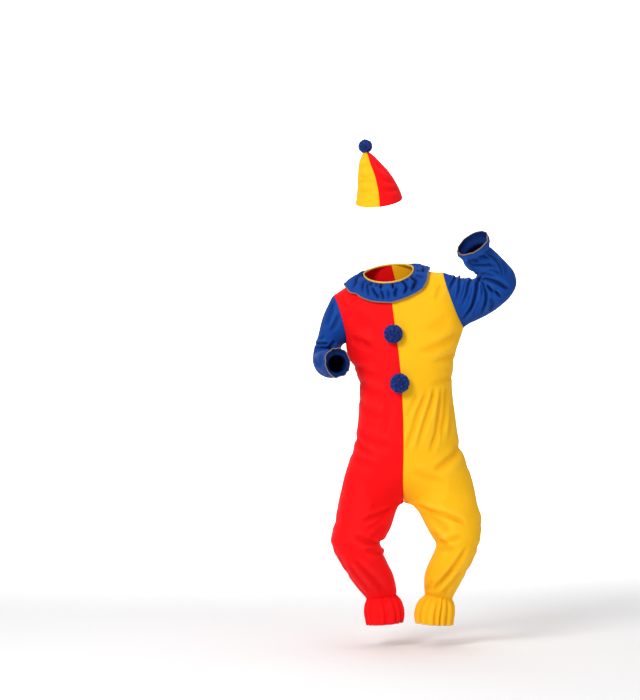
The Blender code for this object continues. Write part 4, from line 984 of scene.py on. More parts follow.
@dataclass
class ClothGrid:
    """Rows and columns of one cut piece, with its lift and its crease values for painted shade and
    highlight, before it gets its thickness.
    """

    name: str
    points: np.ndarray
    lift: np.ndarray
    flip: bool
    closed: bool = False
    crease: Optional[np.ndarray] = None
    seams: tuple = (Seam.FIRST, Seam.LAST)

    def quads(self) -> np.ndarray:
        """Corner numbers of its faces, outward side up.

        Returns:
            One row of four point numbers for each face.
        """
        rows, columns = self.points.shape[:2]
        wide = columns if self.closed else columns - 1
        i, j = np.meshgrid(np.arange(rows - 1), np.arange(wide), indexing="ij")
        k = (j + 1) % columns
        faces = np.stack([i * columns + j, (i + 1) * columns + j,
                          (i + 1) * columns + k, i * columns + k], -1).reshape(-1, 4)
        return faces[:, ::-1] if self.flip else faces

    def flat_lengths(self) -> tuple:
        """Length across each row and along each column, in metres, as on the flat cloth.

        Returns:
            Two arrays, one for each direction, in rows and columns.
        """
        points = self.points
        if self.closed:
            points = np.concatenate([points, points[:, :1]], 1)
        steps = np.linalg.norm(np.diff(points, axis=1), axis=2)
        across = np.concatenate([np.zeros((len(points), 1)), np.cumsum(steps, 1)], 1)
        steps = np.linalg.norm(np.diff(points, axis=0), axis=2)
        along = np.concatenate([np.zeros((1, points.shape[1])), np.cumsum(steps, 0)], 0)
        level = along.mean(1, keepdims=True)
        return across, 0.5 * along + 0.5 * level

    def lay_flat(self, mesh: bpy.types.Mesh) -> None:
        """Gives a mesh the place on the flat cloth as its UV map, in metres.

        Args:
            mesh: Mesh made from this grid.
        """
        across, along = self.flat_lengths()
        rows, columns = self.points.shape[:2]
        wide = columns if self.closed else columns - 1
        i, j = np.meshgrid(np.arange(rows - 1), np.arange(wide), indexing="ij")
        corners = [(i, j), (i + 1, j), (i + 1, j + 1), (i, j + 1)]
        if self.flip:
            corners = corners[::-1]
        flat = np.stack([np.stack([across[c], along[c]], -1) for c in corners], 2)
        layer = mesh.uv_layers.new(name="cloth")
        layer.data.foreach_set("uv", flat.reshape(-1).astype(np.float32))

    def sewing(self) -> tuple:
        """Distance of each point from the nearest seam and from the hem.

        Returns:
            Two arrays in millimetres, in rows and columns.
        """
        rows, columns = self.points.shape[:2]
        across, along = self.flat_lengths()
        total = across[:, -1:] / MM
        across, along = across[:, :columns] / MM, along[:, :columns] / MM
        gaps = {Seam.FIRST: across, Seam.LAST: total - across, Seam.TOP: along,
                Seam.MIDDLE: np.abs(across - across[:, columns // 2:columns // 2 + 1])}
        seam = np.full((rows, columns), FAR_AWAY)
        for place in self.seams:
            seam = np.minimum(seam, gaps[place])
        return seam, along[-1:] - along

    def build(self, outer: bpy.types.Material, inner: bpy.types.Material) -> bpy.types.Object:
        """Makes the sheet, gives it its thickness and its two faces.

        Args:
            outer: Material of the right side.
            inner: Material of the wrong side.

        Returns:
            The finished object.
        """
        name = self.name + "_cloth"
        mesh = bpy.data.meshes.new(name)
        mesh.from_pydata(self.points.reshape(-1, 3).tolist(), [], self.quads().tolist())
        self.lay_flat(mesh)
        seam, hem = self.sewing()
        store(mesh, "seam_mm", seam)
        store(mesh, "hem_mm", hem)
        # crease: painted shade in folds and gathers, below zero a painted highlight on ridges
        store(mesh, "crease", self.crease)
        made = place_mesh(name, mesh, outer, inner)
        shell = made.modifiers.new("wall", "SOLIDIFY")
        shell.thickness = CLOTH_WALL
        shell.offset = -1.0
        shell.use_rim = True
        shell.material_offset = 1
        apply_modifiers(made)
        shade(made, 75.0)
        return made


def store(mesh: bpy.types.Mesh, name: str, values: np.ndarray) -> None:
    """Keeps a number for each point of a mesh, for its finish to read.

    Args:
        mesh: The mesh.
        name: Name of the attribute.
        values: One number for each point.
    """
    data = mesh.attributes.new(name, "FLOAT", "POINT").data
    data.foreach_set("value", values.reshape(-1).astype(np.float32))


def place_mesh(name: str, mesh: bpy.types.Mesh, *materials: bpy.types.Material) -> bpy.types.Object:
    """Puts a finished mesh into the scene.

    Args:
        name: Name of the object.
        mesh: Its mesh.
        materials: Its finishes.

    Returns:
        The object, at the origin.
    """
    mesh.update()
    made = bpy.data.objects.new(name, mesh)
    bpy.context.scene.collection.objects.link(made)
    for material in materials:
        mesh.materials.append(material)
    return made


def select_only(piece: Optional[bpy.types.Object]) -> None:
    """Leaves one object selected and active, or none.

    Args:
        piece: The object, or None to leave nothing selected.
    """
    if bpy.context.object is not None and bpy.context.object.mode != "OBJECT":
        bpy.ops.object.mode_set(mode="OBJECT")
    bpy.ops.object.select_all(action="DESELECT")
    if piece is not None:
        piece.select_set(True)
    bpy.context.view_layer.objects.active = piece


def apply_modifiers(piece: bpy.types.Object) -> None:
    """Makes a piece's modifiers part of its mesh.

    Args:
        piece: The object with its modifiers.
    """
    select_only(piece)
    for modifier in list(piece.modifiers):
        bpy.ops.object.modifier_apply(modifier=modifier.name)


def shade(piece: bpy.types.Object, degrees: float) -> None:
    """Shades a piece smooth, with an edge where faces turn more than some degrees."""
    select_only(piece)
    bpy.ops.object.shade_smooth_by_angle(angle=math.radians(degrees))


def dress(piece: bpy.types.Object, slot: str, *nodes: str) -> None:
    """Ties a piece to the frame.

    Args:
        piece: The finished object.
        slot: Not used.
        nodes: Solids that it stands for.
    """
    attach(piece, "root")
    if nodes:
        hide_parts(*nodes)
    LOG.info("%s: %d faces", piece.name, len(piece.data.polygons))


def shared_normals(grids: Sequence[ClothGrid]) -> list:
    """Outward normals of several pieces, shared where they are sewn together.

    Args:
        grids: The pieces.

    Returns:
        One array of normals for each piece, in its rows and columns.
    """
    points = np.vstack([grid.points.reshape(-1, 3) for grid in grids])
    _, same = np.unique(point_keys(points), axis=0, return_inverse=True)
    same = same.reshape(-1)
    total = np.zeros((same.max() + 1, 3))
    start = 0
    for grid in grids:
        faces = grid.quads() + start
        corner = points[faces]
        normal = np.cross(corner[:, 2] - corner[:, 0], corner[:, 3] - corner[:, 1])
        for k in range(4):
            np.add.at(total, same[faces[:, k]], normal)
        start += grid.points.shape[0] * grid.points.shape[1]
    normals = unit(total)[same]
    result, start = [], 0
    for grid in grids:
        count = grid.points.shape[0] * grid.points.shape[1]
        result.append(normals[start:start + count].reshape(grid.points.shape))
        start += count
    return result


# Length in millimetres, direction and height in millimetres of each slow wave.
SWELL_WAVES = ((61, (0.9, 0.3, 0.4), 0.16), (83, (-0.5, 0.7, 0.6), 0.26),
               (118, (0.3, -0.4, 0.9), 0.4), (47, (0.7, 0.6, -0.5), 0.12),
               (96, (-0.8, -0.2, 0.5), 0.3))


def swell(points: np.ndarray) -> np.ndarray:
    """Slow unevenness of well-used cloth, in metres, the same wherever two pieces meet.

    Args:
        points: Points of the cloth.

    Returns:
        Height of each point over its plain place.
    """
    total = np.zeros(points.shape[:-1])
    for number, (length, direction, height) in enumerate(SWELL_WAVES):
        total += height * MM * np.sin(points @ np.array(direction) * (math.tau / (length * MM))
                                      + 1.7 * number)
    return total


def lay_folds(grids: Sequence[ClothGrid], folds: Sequence[Sequence[Fold]],
              fixed: Optional[set] = None) -> None:
    """Moves sewn pieces along their shared normals by gathers, folds and unevenness.

    Args:
        grids: The pieces.
        folds: The folds of each piece.
        fixed: Point keys that stay where they are.
    """
    normals = shared_normals(grids)
    for grid, normal, own in zip(grids, normals, folds):
        points, flat = grid.points.reshape(-1, 3), normal.reshape(-1, 3)
        height = grid.lift.reshape(-1) + swell(points)
        # painted shade in the troughs of gathers, seams and folds, and painted highlight on their ridges
        crease = 0.55 * np.clip(-grid.lift.reshape(-1), -2.0 * MM, PAINTED_SHADE_DEPTH)
        for fold in own:
            near, depth, painted_shading = fold.relief(points, flat)
            height[near] -= depth
            crease[near] += painted_shading
        if fixed:
            stay = np.array([tuple(key) in fixed for key in point_keys(points)])
            height[stay] = 0.0
        grid.points = (points + flat * height[:, None]).reshape(grid.points.shape)
        soft = np.sign(crease) * (1.0 - np.exp(-np.abs(crease) / PAINTED_SHADE_DEPTH))
        grid.crease = soft.reshape(grid.points.shape[:2])


def leg_ring(inner: np.ndarray, outer: np.ndarray, half_depth: float, share: np.ndarray,
             pointed: float) -> np.ndarray:
    """Closed leg ring from the inseam round to the inseam.

    Args:
        inner: Inseam point.
        outer: Side seam point.
        half_depth: Half the depth from front to back.
        share: Places on the ring, 0 to 1.
        pointed: How far the ring is drawn to a point at the inseam.

    Returns:
        The points.
    """
    middle = (inner + outer) / 2.0
    across, ahead = np.cos(math.tau * share), np.sin(math.tau * share)
    straight = np.arcsin(np.clip(np.abs(ahead), 0.0, 1.0)) / (math.pi / 2.0)
    pull = np.where(across > 0.0, pointed, 0.0)
    across, ahead = (across + (1.0 - straight - across) * pull,
                     ahead + (np.copysign(straight, ahead) - ahead) * pull)
    points = middle + (inner - middle) * across[:, None]
    points[:, 1] -= half_depth * ahead
    return points


def neckline(sign: int, share: np.ndarray) -> np.ndarray:
    """Neckline points of a half, 0 at the front, 0.5 at the shoulder seam, 1 at the back.

    Args:
        sign: 1 for the gold half, -1 for the red one.
        share: Places on the half neckline.

    Returns:
        The points.
    """
    share = np.atleast_1d(share)
    angle = math.pi * share
    depth = np.where(share[:, None] <= 0.5, mm(NECKLINE.front), mm(NECKLINE.back))
    side = mm(NECKLINE.gold if sign > 0 else NECKLINE.red)
    return (mm(NECKLINE.middle) + side * np.sin(angle)[:, None]
            + depth * np.abs(np.cos(angle))[:, None])


def armhole(loop: ArmLoop, share: np.ndarray) -> np.ndarray:
    """Armhole points, 0 at the shoulder, 0.25 in front, 0.5 under the arm.

    Args:
        loop: The armhole's sizes.
        share: Places round it.

    Returns:
        The points.
    """
    share = np.atleast_1d(share)
    angle = math.tau * share
    middle = (mm(loop.shoulder) + mm(loop.underarm)) / 2.0
    side = np.where(share[:, None] <= 0.5, mm(loop.front), mm(loop.back))
    return (middle + (mm(loop.shoulder) - middle) * np.cos(angle)[:, None]
            + side * np.abs(np.sin(angle))[:, None])


@dataclass
class SuitHalf:
    """One colour half of the suit: a front and a back panel, each with its leg and frill."""

    name: str
    sign: int
    leg: tuple
    hole: ArmLoop
    finish: KnitFinish
    edge: OverlockFinish
    fullness: float
    puckers: float = 33.0
    pucker_reach: tuple = (1.3, 0.7)
    casing: float = 1.6
    columns: int = PANEL_COLUMNS
    crotch_row: int = len(TORSO_ROWS) - 1

    def __post_init__(self) -> None:
        """Works out the numbers of its elastic and its hem row."""
        self.elastic_row = self.crotch_row + [row.name for row in self.leg].index("elastic") + 1
        self.last_row = self.crotch_row + len(self.leg)

    def trunk_seams(self, row: TorsoRow) -> tuple:
        """Front, side and back seam points of a trunk row, and its middle.

        Args:
            row: Level of the trunk.

        Returns:
            The four points, front to middle.
        """
        front, red, gold = mm(row.front), mm(row.red), mm(row.gold)
        back = np.array([row.back[0] * MM, row.back[1] * MM, front[2]])
        across, along = gold - red, back - front
        turn = across[0] * along[1] - across[1] * along[0]
        reach = ((front[0] - red[0]) * along[1] - (front[1] - red[1]) * along[0]) / turn
        middle = red + across * reach
        middle[2] = front[2]
        return front, (gold if self.sign > 0 else red), back, middle

    def trunk_ring(self, row: TorsoRow, share: np.ndarray) -> np.ndarray:
        """Points of a trunk row from the front seam to the back seam.

        Args:
            row: Level of the trunk.
            share: Places from front, 0, to back, 1.

        Returns:
            The points.
        """
        front, side, back, middle = self.trunk_seams(row)
        angle = math.pi * share
        depth = np.where(share[:, None] <= 0.5, front, back) - middle
        ring = (middle + (side - middle) * np.sin(angle)[:, None]
                + depth * np.abs(np.cos(angle))[:, None])
        if row.leg_share == 0.0:
            return ring
        inner = np.array([front[0], CROTCH_Y * MM, front[2]])
        closed = leg_ring(inner, side, CROTCH_HALF_DEPTH * MM, share, INSEAM_POINT[0])
        return ring + (closed - ring) * row.leg_share

    def ring(self, index: int, share: np.ndarray) -> np.ndarray:
        """Points of a whole row of yoke, trunk or leg.

        Args:
            index: Number of the row, below zero in the yoke.
            share: Places from front, 0, to back, 1.

        Returns:
            The points.
        """
        if index < 0:
            return self.yoke(-index, share)
        if index <= self.crotch_row:
            return self.trunk_ring(TORSO_ROWS[index], share)
        below = min(index, self.last_row) - self.crotch_row
        row = self.leg[below - 1]
        inner = mm((row.inner[0], row.y, row.inner[1]))
        outer = mm((row.outer[0], row.y, row.outer[1]))
        pointed = INSEAM_POINT[below] if below < len(INSEAM_POINT) else 0.0
        return leg_ring(inner, outer, row.half_depth * MM, share, pointed)

    def yoke(self, rise: float, share: np.ndarray) -> np.ndarray:
        """Points between centre line or neckline and armhole.

        Args:
            rise: Rows above the underarm, up to 10 at the shoulder seam.
            share: Places of a front or of a back panel.

        Returns:
            The points.
        """
        front_side = share[0] <= 0.5 and share[-1] <= 0.5
        front, side, back, middle = self.trunk_seams(TORSO_ROWS[0])
        seam = front if front_side else back
        if rise <= NECK_ROW:
            neck = neckline(self.sign, 0.0 if front_side else 1.0)[0]
            inner = seam + (neck - seam) * (rise / NECK_ROW)
        else:
            turn = (rise - NECK_ROW) / (YOKE_ROWS - NECK_ROW) / 2.0
            inner = neckline(self.sign, turn if front_side else 1.0 - turn)[0]
        up = rise / YOKE_ROWS
        outer = armhole(self.hole, (1.0 - up) * 0.5 if front_side else (1.0 + up) * 0.5)[0]
        chord = outer - inner
        length = np.linalg.norm(chord)
        across = unit(side - middle)
        wrap = unit(back - front) if front_side else unit(front - back)
        near_neck = max(0.0, (rise - NECK_ROW) / (YOKE_ROWS - NECK_ROW)) ** 0.8
        leave = unit(across + (chord / length - across) * near_neck) * length * 1.05
        low = (1.0 - up) ** 1.5
        arrive = unit(wrap * low + (chord / length) * (1.0 - low)) * length * 1.05
        t = (share * 2.0 if front_side else (1.0 - share) * 2.0)[:, None]
        point = self.bridge(inner, leave, outer, arrive, t)
        reach = np.linalg.norm(side - seam) * 1.05
        start = self.bridge(seam, across * reach, side, wrap * reach, t)
        fade = max(0.0, 1.0 - up) ** 3
        return point + (self.trunk_ring(TORSO_ROWS[0], share) - start) * fade

    @staticmethod
    def bridge(start: np.ndarray, leave: np.ndarray, end: np.ndarray, arrive: np.ndarray,
               t: np.ndarray) -> np.ndarray:
        """Cubic curve from start to end with the two given tangents.

        Args:
            start: First point.
            leave: Tangent there.
            end: Last point.
            arrive: Tangent there.
            t: Places on the curve, 0 to 1.

        Returns:
            The points.
        """
        a, b = t * t, t ** 3
        return (start * (2 * b - 3 * a + 1) + leave * (b - 2 * a + t)
                + end * (3 * a - 2 * b) + arrive * (b - a))

    def course(self, v: float, share: np.ndarray) -> np.ndarray:
        """Points at any row value.

        Args:
            v: Row value, with parts of a row.
            share: Places from front, 0, to back, 1.

        Returns:
            The points.
        """
        if v <= 0.0:
            return self.yoke(-v, share)
        base = min(int(math.floor(v + 1e-9)), self.last_row - 1)
        t = v - base
        if t < 1e-6:
            return self.ring(base, share)
        rows = [self.ring(base + k, share) for k in (-1, 0, 1, 2)]
        if base + 1 == self.crotch_row:
            rows[3] = rows[2] * 2.0 - rows[1]
        return catmull(*rows, t)

    def gathers(self, v: float, share: np.ndarray) -> np.ndarray:
        """Height of the ankle gathers: flutes of the frill and small puckers at the elastic.

        Args:
            v: Row value.
            share: Places round the leg.

        Returns:
            Height over the plain leg at each place, in metres.
        """
        heights = [row.flute for row in self.leg]
        place = v - self.crotch_row - 1
        turn = math.tau * share
        height = 0.0
        if place > 0:
            low = min(int(place), len(heights) - 2)
            height = heights[low] + (heights[low + 1] - heights[low]) * (place - low)
        uneven = self.fullness + 0.24 * np.sin(3.0 * turn + 0.8 * self.sign) + 0.2 * np.sin(5.0 * turn)
        bent = turn + 0.075 * np.sin(3.0 * turn + self.sign) + 0.04 * np.sin(7.0 * turn)
        wave = np.cos(ANKLE_GATHERS * bent)
        flutes = height * uneven * (0.4 * wave + 0.25 - 0.95 * bell((1.0 + wave) / 0.35))
        past = v - self.elastic_row
        above, below = self.pucker_reach
        fade = math.exp(past / above) if past < 0 else math.exp(-past / below)
        if past < -5.0:
            fade = 0.0
        bends = self.puckers * turn + 1.3 * np.sin(3.0 * turn) + 0.6 * self.sign
        puckers = fade * (1.5 + 0.7 * np.sin(4.0 * turn + 2.0)) * np.cos(bends)
        casing = -self.casing * math.exp(-(past / 0.22) ** 2)
        return (flutes + puckers + casing) * MM

    def row_values(self) -> list:
        """Row values of the mesh, closer together where the cloth is gathered.

        Returns:
            Values from the shoulder seam down to the hem.
        """
        marks = [(-YOKE_ROWS, 0, YOKE_STEPS), (0, self.crotch_row, TRUNK_STEPS),
                 (self.crotch_row, self.elastic_row - 1, LEG_STEPS),
                 (self.elastic_row - 1, self.last_row, FRILL_STEPS)]
        values = [low + k / steps for low, high, steps in marks
                  for k in range((high - low) * steps)]
        return values + [float(self.last_row)]

    def panel(self, front_side: bool) -> ClothGrid:
        """Lays out a front or back panel.

        Args:
            front_side: Whether it is the front panel.

        Returns:
            The panel's grid.
        """
        part = np.linspace(0.0, 0.5, self.columns + 1)
        share = part if front_side else np.maximum(0.5 + part, 0.5 + 1e-9)
        values = self.row_values()
        points = np.stack([self.course(v, share) for v in values])
        lift = np.stack([self.gathers(v, share) for v in values])
        points = self.even_out(points, np.array(values), share)
        side = "front" if front_side else "back"
        return ClothGrid(side + "_" + self.name, points, lift, flip=self.sign < 0)

    def even_out(self, points: np.ndarray, values: np.ndarray, share: np.ndarray) -> np.ndarray:
        """Softens the bends between rows, but not at armhole, crotch and free edges.

        Args:
            points: The panel's points.
            values: Row values.
            share: Places across.

        Returns:
            The softened points.
        """
        even = soften_rows(points, 10)
        v, s = values[:, None], share[None, :]
        to_middle = np.minimum(s, 1 - s)
        near_side = bell((s - 0.5) / 0.05) * (v < 0.5)
        near_crotch = bell((v - self.crotch_row) / 0.8) * bell(to_middle / 0.1)
        near_top = bell((v + YOKE_ROWS) / 1.0)
        near_neck = bell((v + NECK_ROW) / 0.8) + (v < -NECK_ROW) * bell(to_middle / 0.06)
        near_frill = soft_step((v - self.elastic_row + 1.6) / 0.6)
        keep = 1.0 - np.clip(near_side + near_crotch + near_top + near_neck + near_frill, 0.0, 1.0)
        return points + (even - points) * keep[:, :, None]


@dataclass
class SleevePiece:
    """Sleeve from the armhole to the free edge of its cuff frill."""

    name: str
    sign: int
    rows: tuple
    hole: ArmLoop
    roll: float
    puckers: float = 23.0
    pucker_reach: tuple = (0.9, 0.5)
    casing: float = 1.5
    head_fullness: float = 0.7
    columns: int = 2 * YOKE_ROWS * YOKE_STEPS

    def __post_init__(self) -> None:
        """Works out the numbers of its elastic and its hem row."""
        self.last_row = len(self.rows)
        self.elastic_row = [row.name for row in self.rows].index("elastic") + 1

    def ahead(self, index: int) -> tuple:
        """Rough way that the front of a ring faces; the raised forearm turns it upwards.

        Args:
            index: Number of the ring, 0 at the armhole.

        Returns:
            The direction.
        """
        if self.sign > 0:
            return (0.0, -1.0, 0.0)
        return (0.0, -1.0, 0.35) if index < FOREARM_RING else (0.0, -0.2, 1.0)

    def middle(self, index: int) -> np.ndarray:
        """Middle of a ring.

        Args:
            index: Number of the ring, 0 at the armhole.

        Returns:
            The point.
        """
        if index <= 0:
            return (mm(self.hole.shoulder) + mm(self.hole.underarm)) / 2.0
        row = self.rows[min(index, self.last_row) - 1]
        return (mm(row.over) + mm(row.under)) / 2.0

    def ring(self, index: int, share: np.ndarray) -> np.ndarray:
        """Points of a whole ring.

        Args:
            index: Number of the ring, 0 at the armhole.
            share: Places round it, 0 over the arm.

        Returns:
            The points.
        """
        if index <= 0:
            return armhole(self.hole, share)
        row = self.rows[min(index, self.last_row) - 1]
        middle = self.middle(index)
        half = mm(row.over) - middle
        path = self.middle(min(index + 1, self.last_row)) - self.middle(index - 1)
        depth = unit(np.cross(path, half))
        if depth @ np.array(self.ahead(index)) < 0.0:
            depth = -depth
        angle = math.tau * share
        size = np.where(share <= 0.5, row.front, row.back) * MM
        return (middle + half * np.cos(angle)[:, None]
                + depth * (size * np.sin(angle))[:, None])

    def course(self, v: float, share: np.ndarray) -> np.ndarray:
        """Points at any row value.

        Args:
            v: Row value, with parts of a row.
            share: Places round the arm.

        Returns:
            The points.
        """
        base = min(int(math.floor(v + 1e-9)), self.last_row - 1)
        t = v - base
        first, second = self.ring(base, share), self.ring(base + 1, share)
        if t < 1e-6:
            return first
        before = self.ring(base - 1, share) if base > 0 else 2.0 * first - second
        after = self.ring(base + 2, share) if base + 2 <= self.last_row else 2.0 * second - first
        return catmull(before, first, second, after, t)

    def gathers(self, v: float, share: np.ndarray) -> np.ndarray:
        """Height of the cuff gathers: flutes of the frill and puckers at the elastic.

        Args:
            v: Row value.
            share: Places round the arm.

        Returns:
            Height over the plain sleeve at each place, in metres.
        """
        heights = [0.0] + [row.flute for row in self.rows]
        low = min(int(v), len(heights) - 2)
        height = heights[low] + (heights[low + 1] - heights[low]) * (v - low)
        turn = math.tau * share
        uneven = 0.2 + 0.1 * np.sin(2.0 * turn + self.sign) + 0.08 * np.sin(3.0 * turn)
        bent = turn + 0.13 * np.sin(3.0 * turn + 1.0) + 0.07 * np.sin(5.0 * turn)
        flutes = height * (uneven * np.cos(CUFF_GATHERS * bent)
                           + 0.2 * np.sin(3.0 * turn + 2.0 * self.sign) + 0.1 * np.cos(5.0 * turn))
        past = v - self.elastic_row
        above, below = self.pucker_reach
        fade = math.exp(past / above) if past < 0 else math.exp(-past / below)
        if past < -4.0:
            fade = 0.0
        bends = (self.puckers * turn + 1.6 * np.sin(2.0 * turn) + 0.8 * np.sin(5.0 * turn)
                 + self.sign)
        puckers = fade * (1.9 + 0.8 * np.sin(3.0 * turn + 1.0)) * np.cos(bends)
        casing = -self.casing * math.exp(-(past / 0.2) ** 2)
        if past > 0.0:
            casing += self.roll * math.sin(math.pi * past / (self.last_row - self.elastic_row))
        head = self.head_fullness * math.exp(-((v - 0.35) / 0.3) ** 2)
        head = head * np.cos(19.0 * turn + np.sin(3.0 * turn)) * (np.cos(turn) > 0.0)
        return (flutes + puckers + casing + head) * MM

    def grid(self) -> ClothGrid:
        """Lays out the sleeve.

        Returns:
            The sleeve's grid.
        """
        share = np.arange(self.columns) / self.columns
        values = [k / SLEEVE_STEPS for k in range(self.last_row * SLEEVE_STEPS + 1)]
        points = np.stack([self.course(v, share) for v in values])
        lift = np.stack([self.gathers(v, share) for v in values])
        lift[0] = 0.0
        even = soften_rows(points, 8)
        v = np.array(values)[:, None, None]
        keep = soft_step(v / 0.8) * soft_step((self.elastic_row - 0.8 - v) / 0.5)
        points = points + (even - points) * keep
        return ClothGrid("sleeve_" + self.name, points, lift, flip=self.sign > 0, closed=True,
                         seams=(Seam.MIDDLE, Seam.TOP))


@dataclass
class EdgeThread:
    """Overlock thread round a free edge."""

    name: str
    course: np.ndarray
    normals: np.ndarray
    finish: OverlockFinish
    radius: float
    sides: int = 8
    flatten: float = 0.8

    def build(self) -> bpy.types.Object:
        """Makes the closed tube along the edge.

        Returns:
            The tube.
        """
        ahead = unit(np.roll(self.course, -1, 0) - np.roll(self.course, 1, 0))
        up = unit(self.normals - ahead * (self.normals * ahead).sum(1, keepdims=True))
        aside = np.cross(ahead, up)
        angle = math.tau * np.arange(self.sides) / self.sides
        rings = (self.course[:, None] + aside[:, None] * (np.cos(angle) * self.radius)[None, :, None]
                 + up[:, None] * (np.sin(angle) * self.radius * self.flatten)[None, :, None])
        return closed_tube(self.name, rings, self.finish.material())


def closed_tube(name: str, rings: np.ndarray, material: bpy.types.Material) -> bpy.types.Object:
    """Skins rings that run round a closed course.

    Args:
        name: Name of the object.
        rings: Points as rings, sides, 3.
        material: Its finish.

    Returns:
        The object, with its length along and its way round as UV map.
    """
    count, sides = rings.shape[:2]
    i, j = np.meshgrid(np.arange(count), np.arange(sides), indexing="ij")
    m, n = (i + 1) % count, (j + 1) % sides
    faces = np.stack([i * sides + j, i * sides + n, m * sides + n, m * sides + j], -1).reshape(-1, 4)
    mesh = bpy.data.meshes.new(name)
    middle = rings.mean(1)
    corner = rings.reshape(-1, 3)[faces]
    normal = np.cross(corner[:, 2] - corner[:, 0], corner[:, 3] - corner[:, 1])
    outward = (normal * (corner.mean(1) - np.repeat(middle, sides, 0))).sum(1).sum()
    flip = outward < 0.0
    if flip:
        faces = faces[:, ::-1]
    mesh.from_pydata(rings.reshape(-1, 3).tolist(), [], faces.tolist())
    steps = np.linalg.norm(np.diff(np.vstack([middle, middle[:1]]), axis=0), axis=1)
    along = np.concatenate([[0.0], np.cumsum(steps)])
    side = np.linalg.norm(np.diff(np.concatenate([rings, rings[:, :1]], 1), axis=1), axis=2)
    around = np.concatenate([np.zeros((count, 1)), np.cumsum(side, 1)], 1)
    around = np.vstack([around, around[:1]])
    corners = [(i, j), (i, j + 1), (i + 1, j + 1), (i + 1, j)]
    if flip:
        corners = corners[::-1]
    flat = np.stack([np.stack([around[c], along[c[0]]], -1) for c in corners], 2)
    mesh.uv_layers.new(name="cloth").data.foreach_set("uv", flat.reshape(-1).astype(np.float32))
    made = place_mesh(name, mesh, material)
    shade(made, 60.0)
    return made


@dataclass
class Jumpsuit:
    """The suit: four panels, two sleeves, their frills and their edges."""

    wardrobe: Wardrobe
    grids: dict = field(default_factory=dict)

    def build(self) -> None:
        """Cuts, folds and dresses all panels and sleeves."""
        red = SuitHalf("red", -1, RED_LEG, RED_ARMHOLE, self.wardrobe.red, self.wardrobe.red_edge, 0.5)
        gold = SuitHalf("gold", 1, GOLD_LEG, GOLD_ARMHOLE, self.wardrobe.gold,
                        self.wardrobe.gold_edge, 0.8)
        sleeves = (SleevePiece("right", -1, RED_SLEEVE, RED_ARMHOLE, 1.5),
                   SleevePiece("left", 1, GOLD_SLEEVE, GOLD_ARMHOLE, 4.0))
        panels = [half.panel(front) for half in (red, gold) for front in (True, False)]
        arms = [sleeve.grid() for sleeve in sleeves]
        for grid in panels:
            self.sink_seams(grid)
        fixed = {tuple(key) for grid in arms for key in point_keys(grid.points[0])}
        lay_folds(panels + arms, [BODY_FOLDS] * 4 + [SLEEVE_FOLDS] * 2, fixed)
        self.grids = {grid.name: grid for grid in panels + arms}
        for half in (red, gold):
            self.dress_half(half)
        for grid in arms:
            self.dress_sleeve(grid)

    @staticmethod
    def sink_seams(grid: ClothGrid) -> None:
        """Pulls the edge columns of a panel in, as its seams do.

        Args:
            grid: The panel.
        """
        across, along = grid.flat_lengths()
        gap = np.minimum(across, across[:, -1:] - across)
        pucker = 0.25 * MM * np.sin(along * (math.tau / (13 * MM))) * bell(gap / (9 * MM))
        grid.lift = grid.lift - SEAM_SINK * bell(gap / SEAM_SPREAD) + pucker * (gap > 1e-6)

    def dress_half(self, half: SuitHalf) -> None:
        """Makes the two panels of a half and the thread round its ankle hem.

        Args:
            half: The red or the gold half.
        """
        outer, inner = half.finish.material(), half.finish.material(wrong_side=True)
        front, back = self.grids["front_" + half.name], self.grids["back_" + half.name]
        edge = np.vstack([front.points[-1, :-1], back.points[-1, :-1]])
        middle = edge.mean(0)
        away = unit((edge - middle) * np.array([1.0, 1.0, 0.0]))
        thread = EdgeThread("ankle_edge_" + half.name, edge, away, half.edge,
                            ANKLE_THREAD).build()
        dress(thread, half.name)
        for grid in (front, back):
            piece = grid.build(outer, inner)
            dress(piece, half.name, grid.name)
            extra = (thread,) if grid is front else ()
            CUTS[grid.name].declare(piece, with_pieces=extra)

    def dress_sleeve(self, grid: ClothGrid) -> None:
        """Makes a sleeve and the tan thread round its cuff.

        Args:
            grid: The sleeve.
        """
        blue = self.wardrobe.blue
        edge = grid.points[-1]
        away = unit(edge - edge.mean(0))
        thread = EdgeThread(grid.name.replace("sleeve", "cuff_edge"), edge, away,
                            self.wardrobe.edge, CUFF_THREAD).build()
        dress(thread, "blue")
        piece = grid.build(blue.material(), blue.material(wrong_side=True))
        dress(piece, "blue", grid.name)
        CUTS[grid.name].declare(piece, with_pieces=(thread,))

    def panel_tree(self) -> BVHTree:
        """Search tree over the four panels.

        Returns:
            The tree, for rays and nearest points.
        """
        points, faces, start = [], [], 0
        for name, grid in self.grids.items():
            if name.startswith(("front", "back")):
                points.append(grid.points.reshape(-1, 3))
                faces += (grid.quads() + start).tolist()
                start += len(points[-1])
        return BVHTree.FromPolygons(np.vstack(points).tolist(), faces)


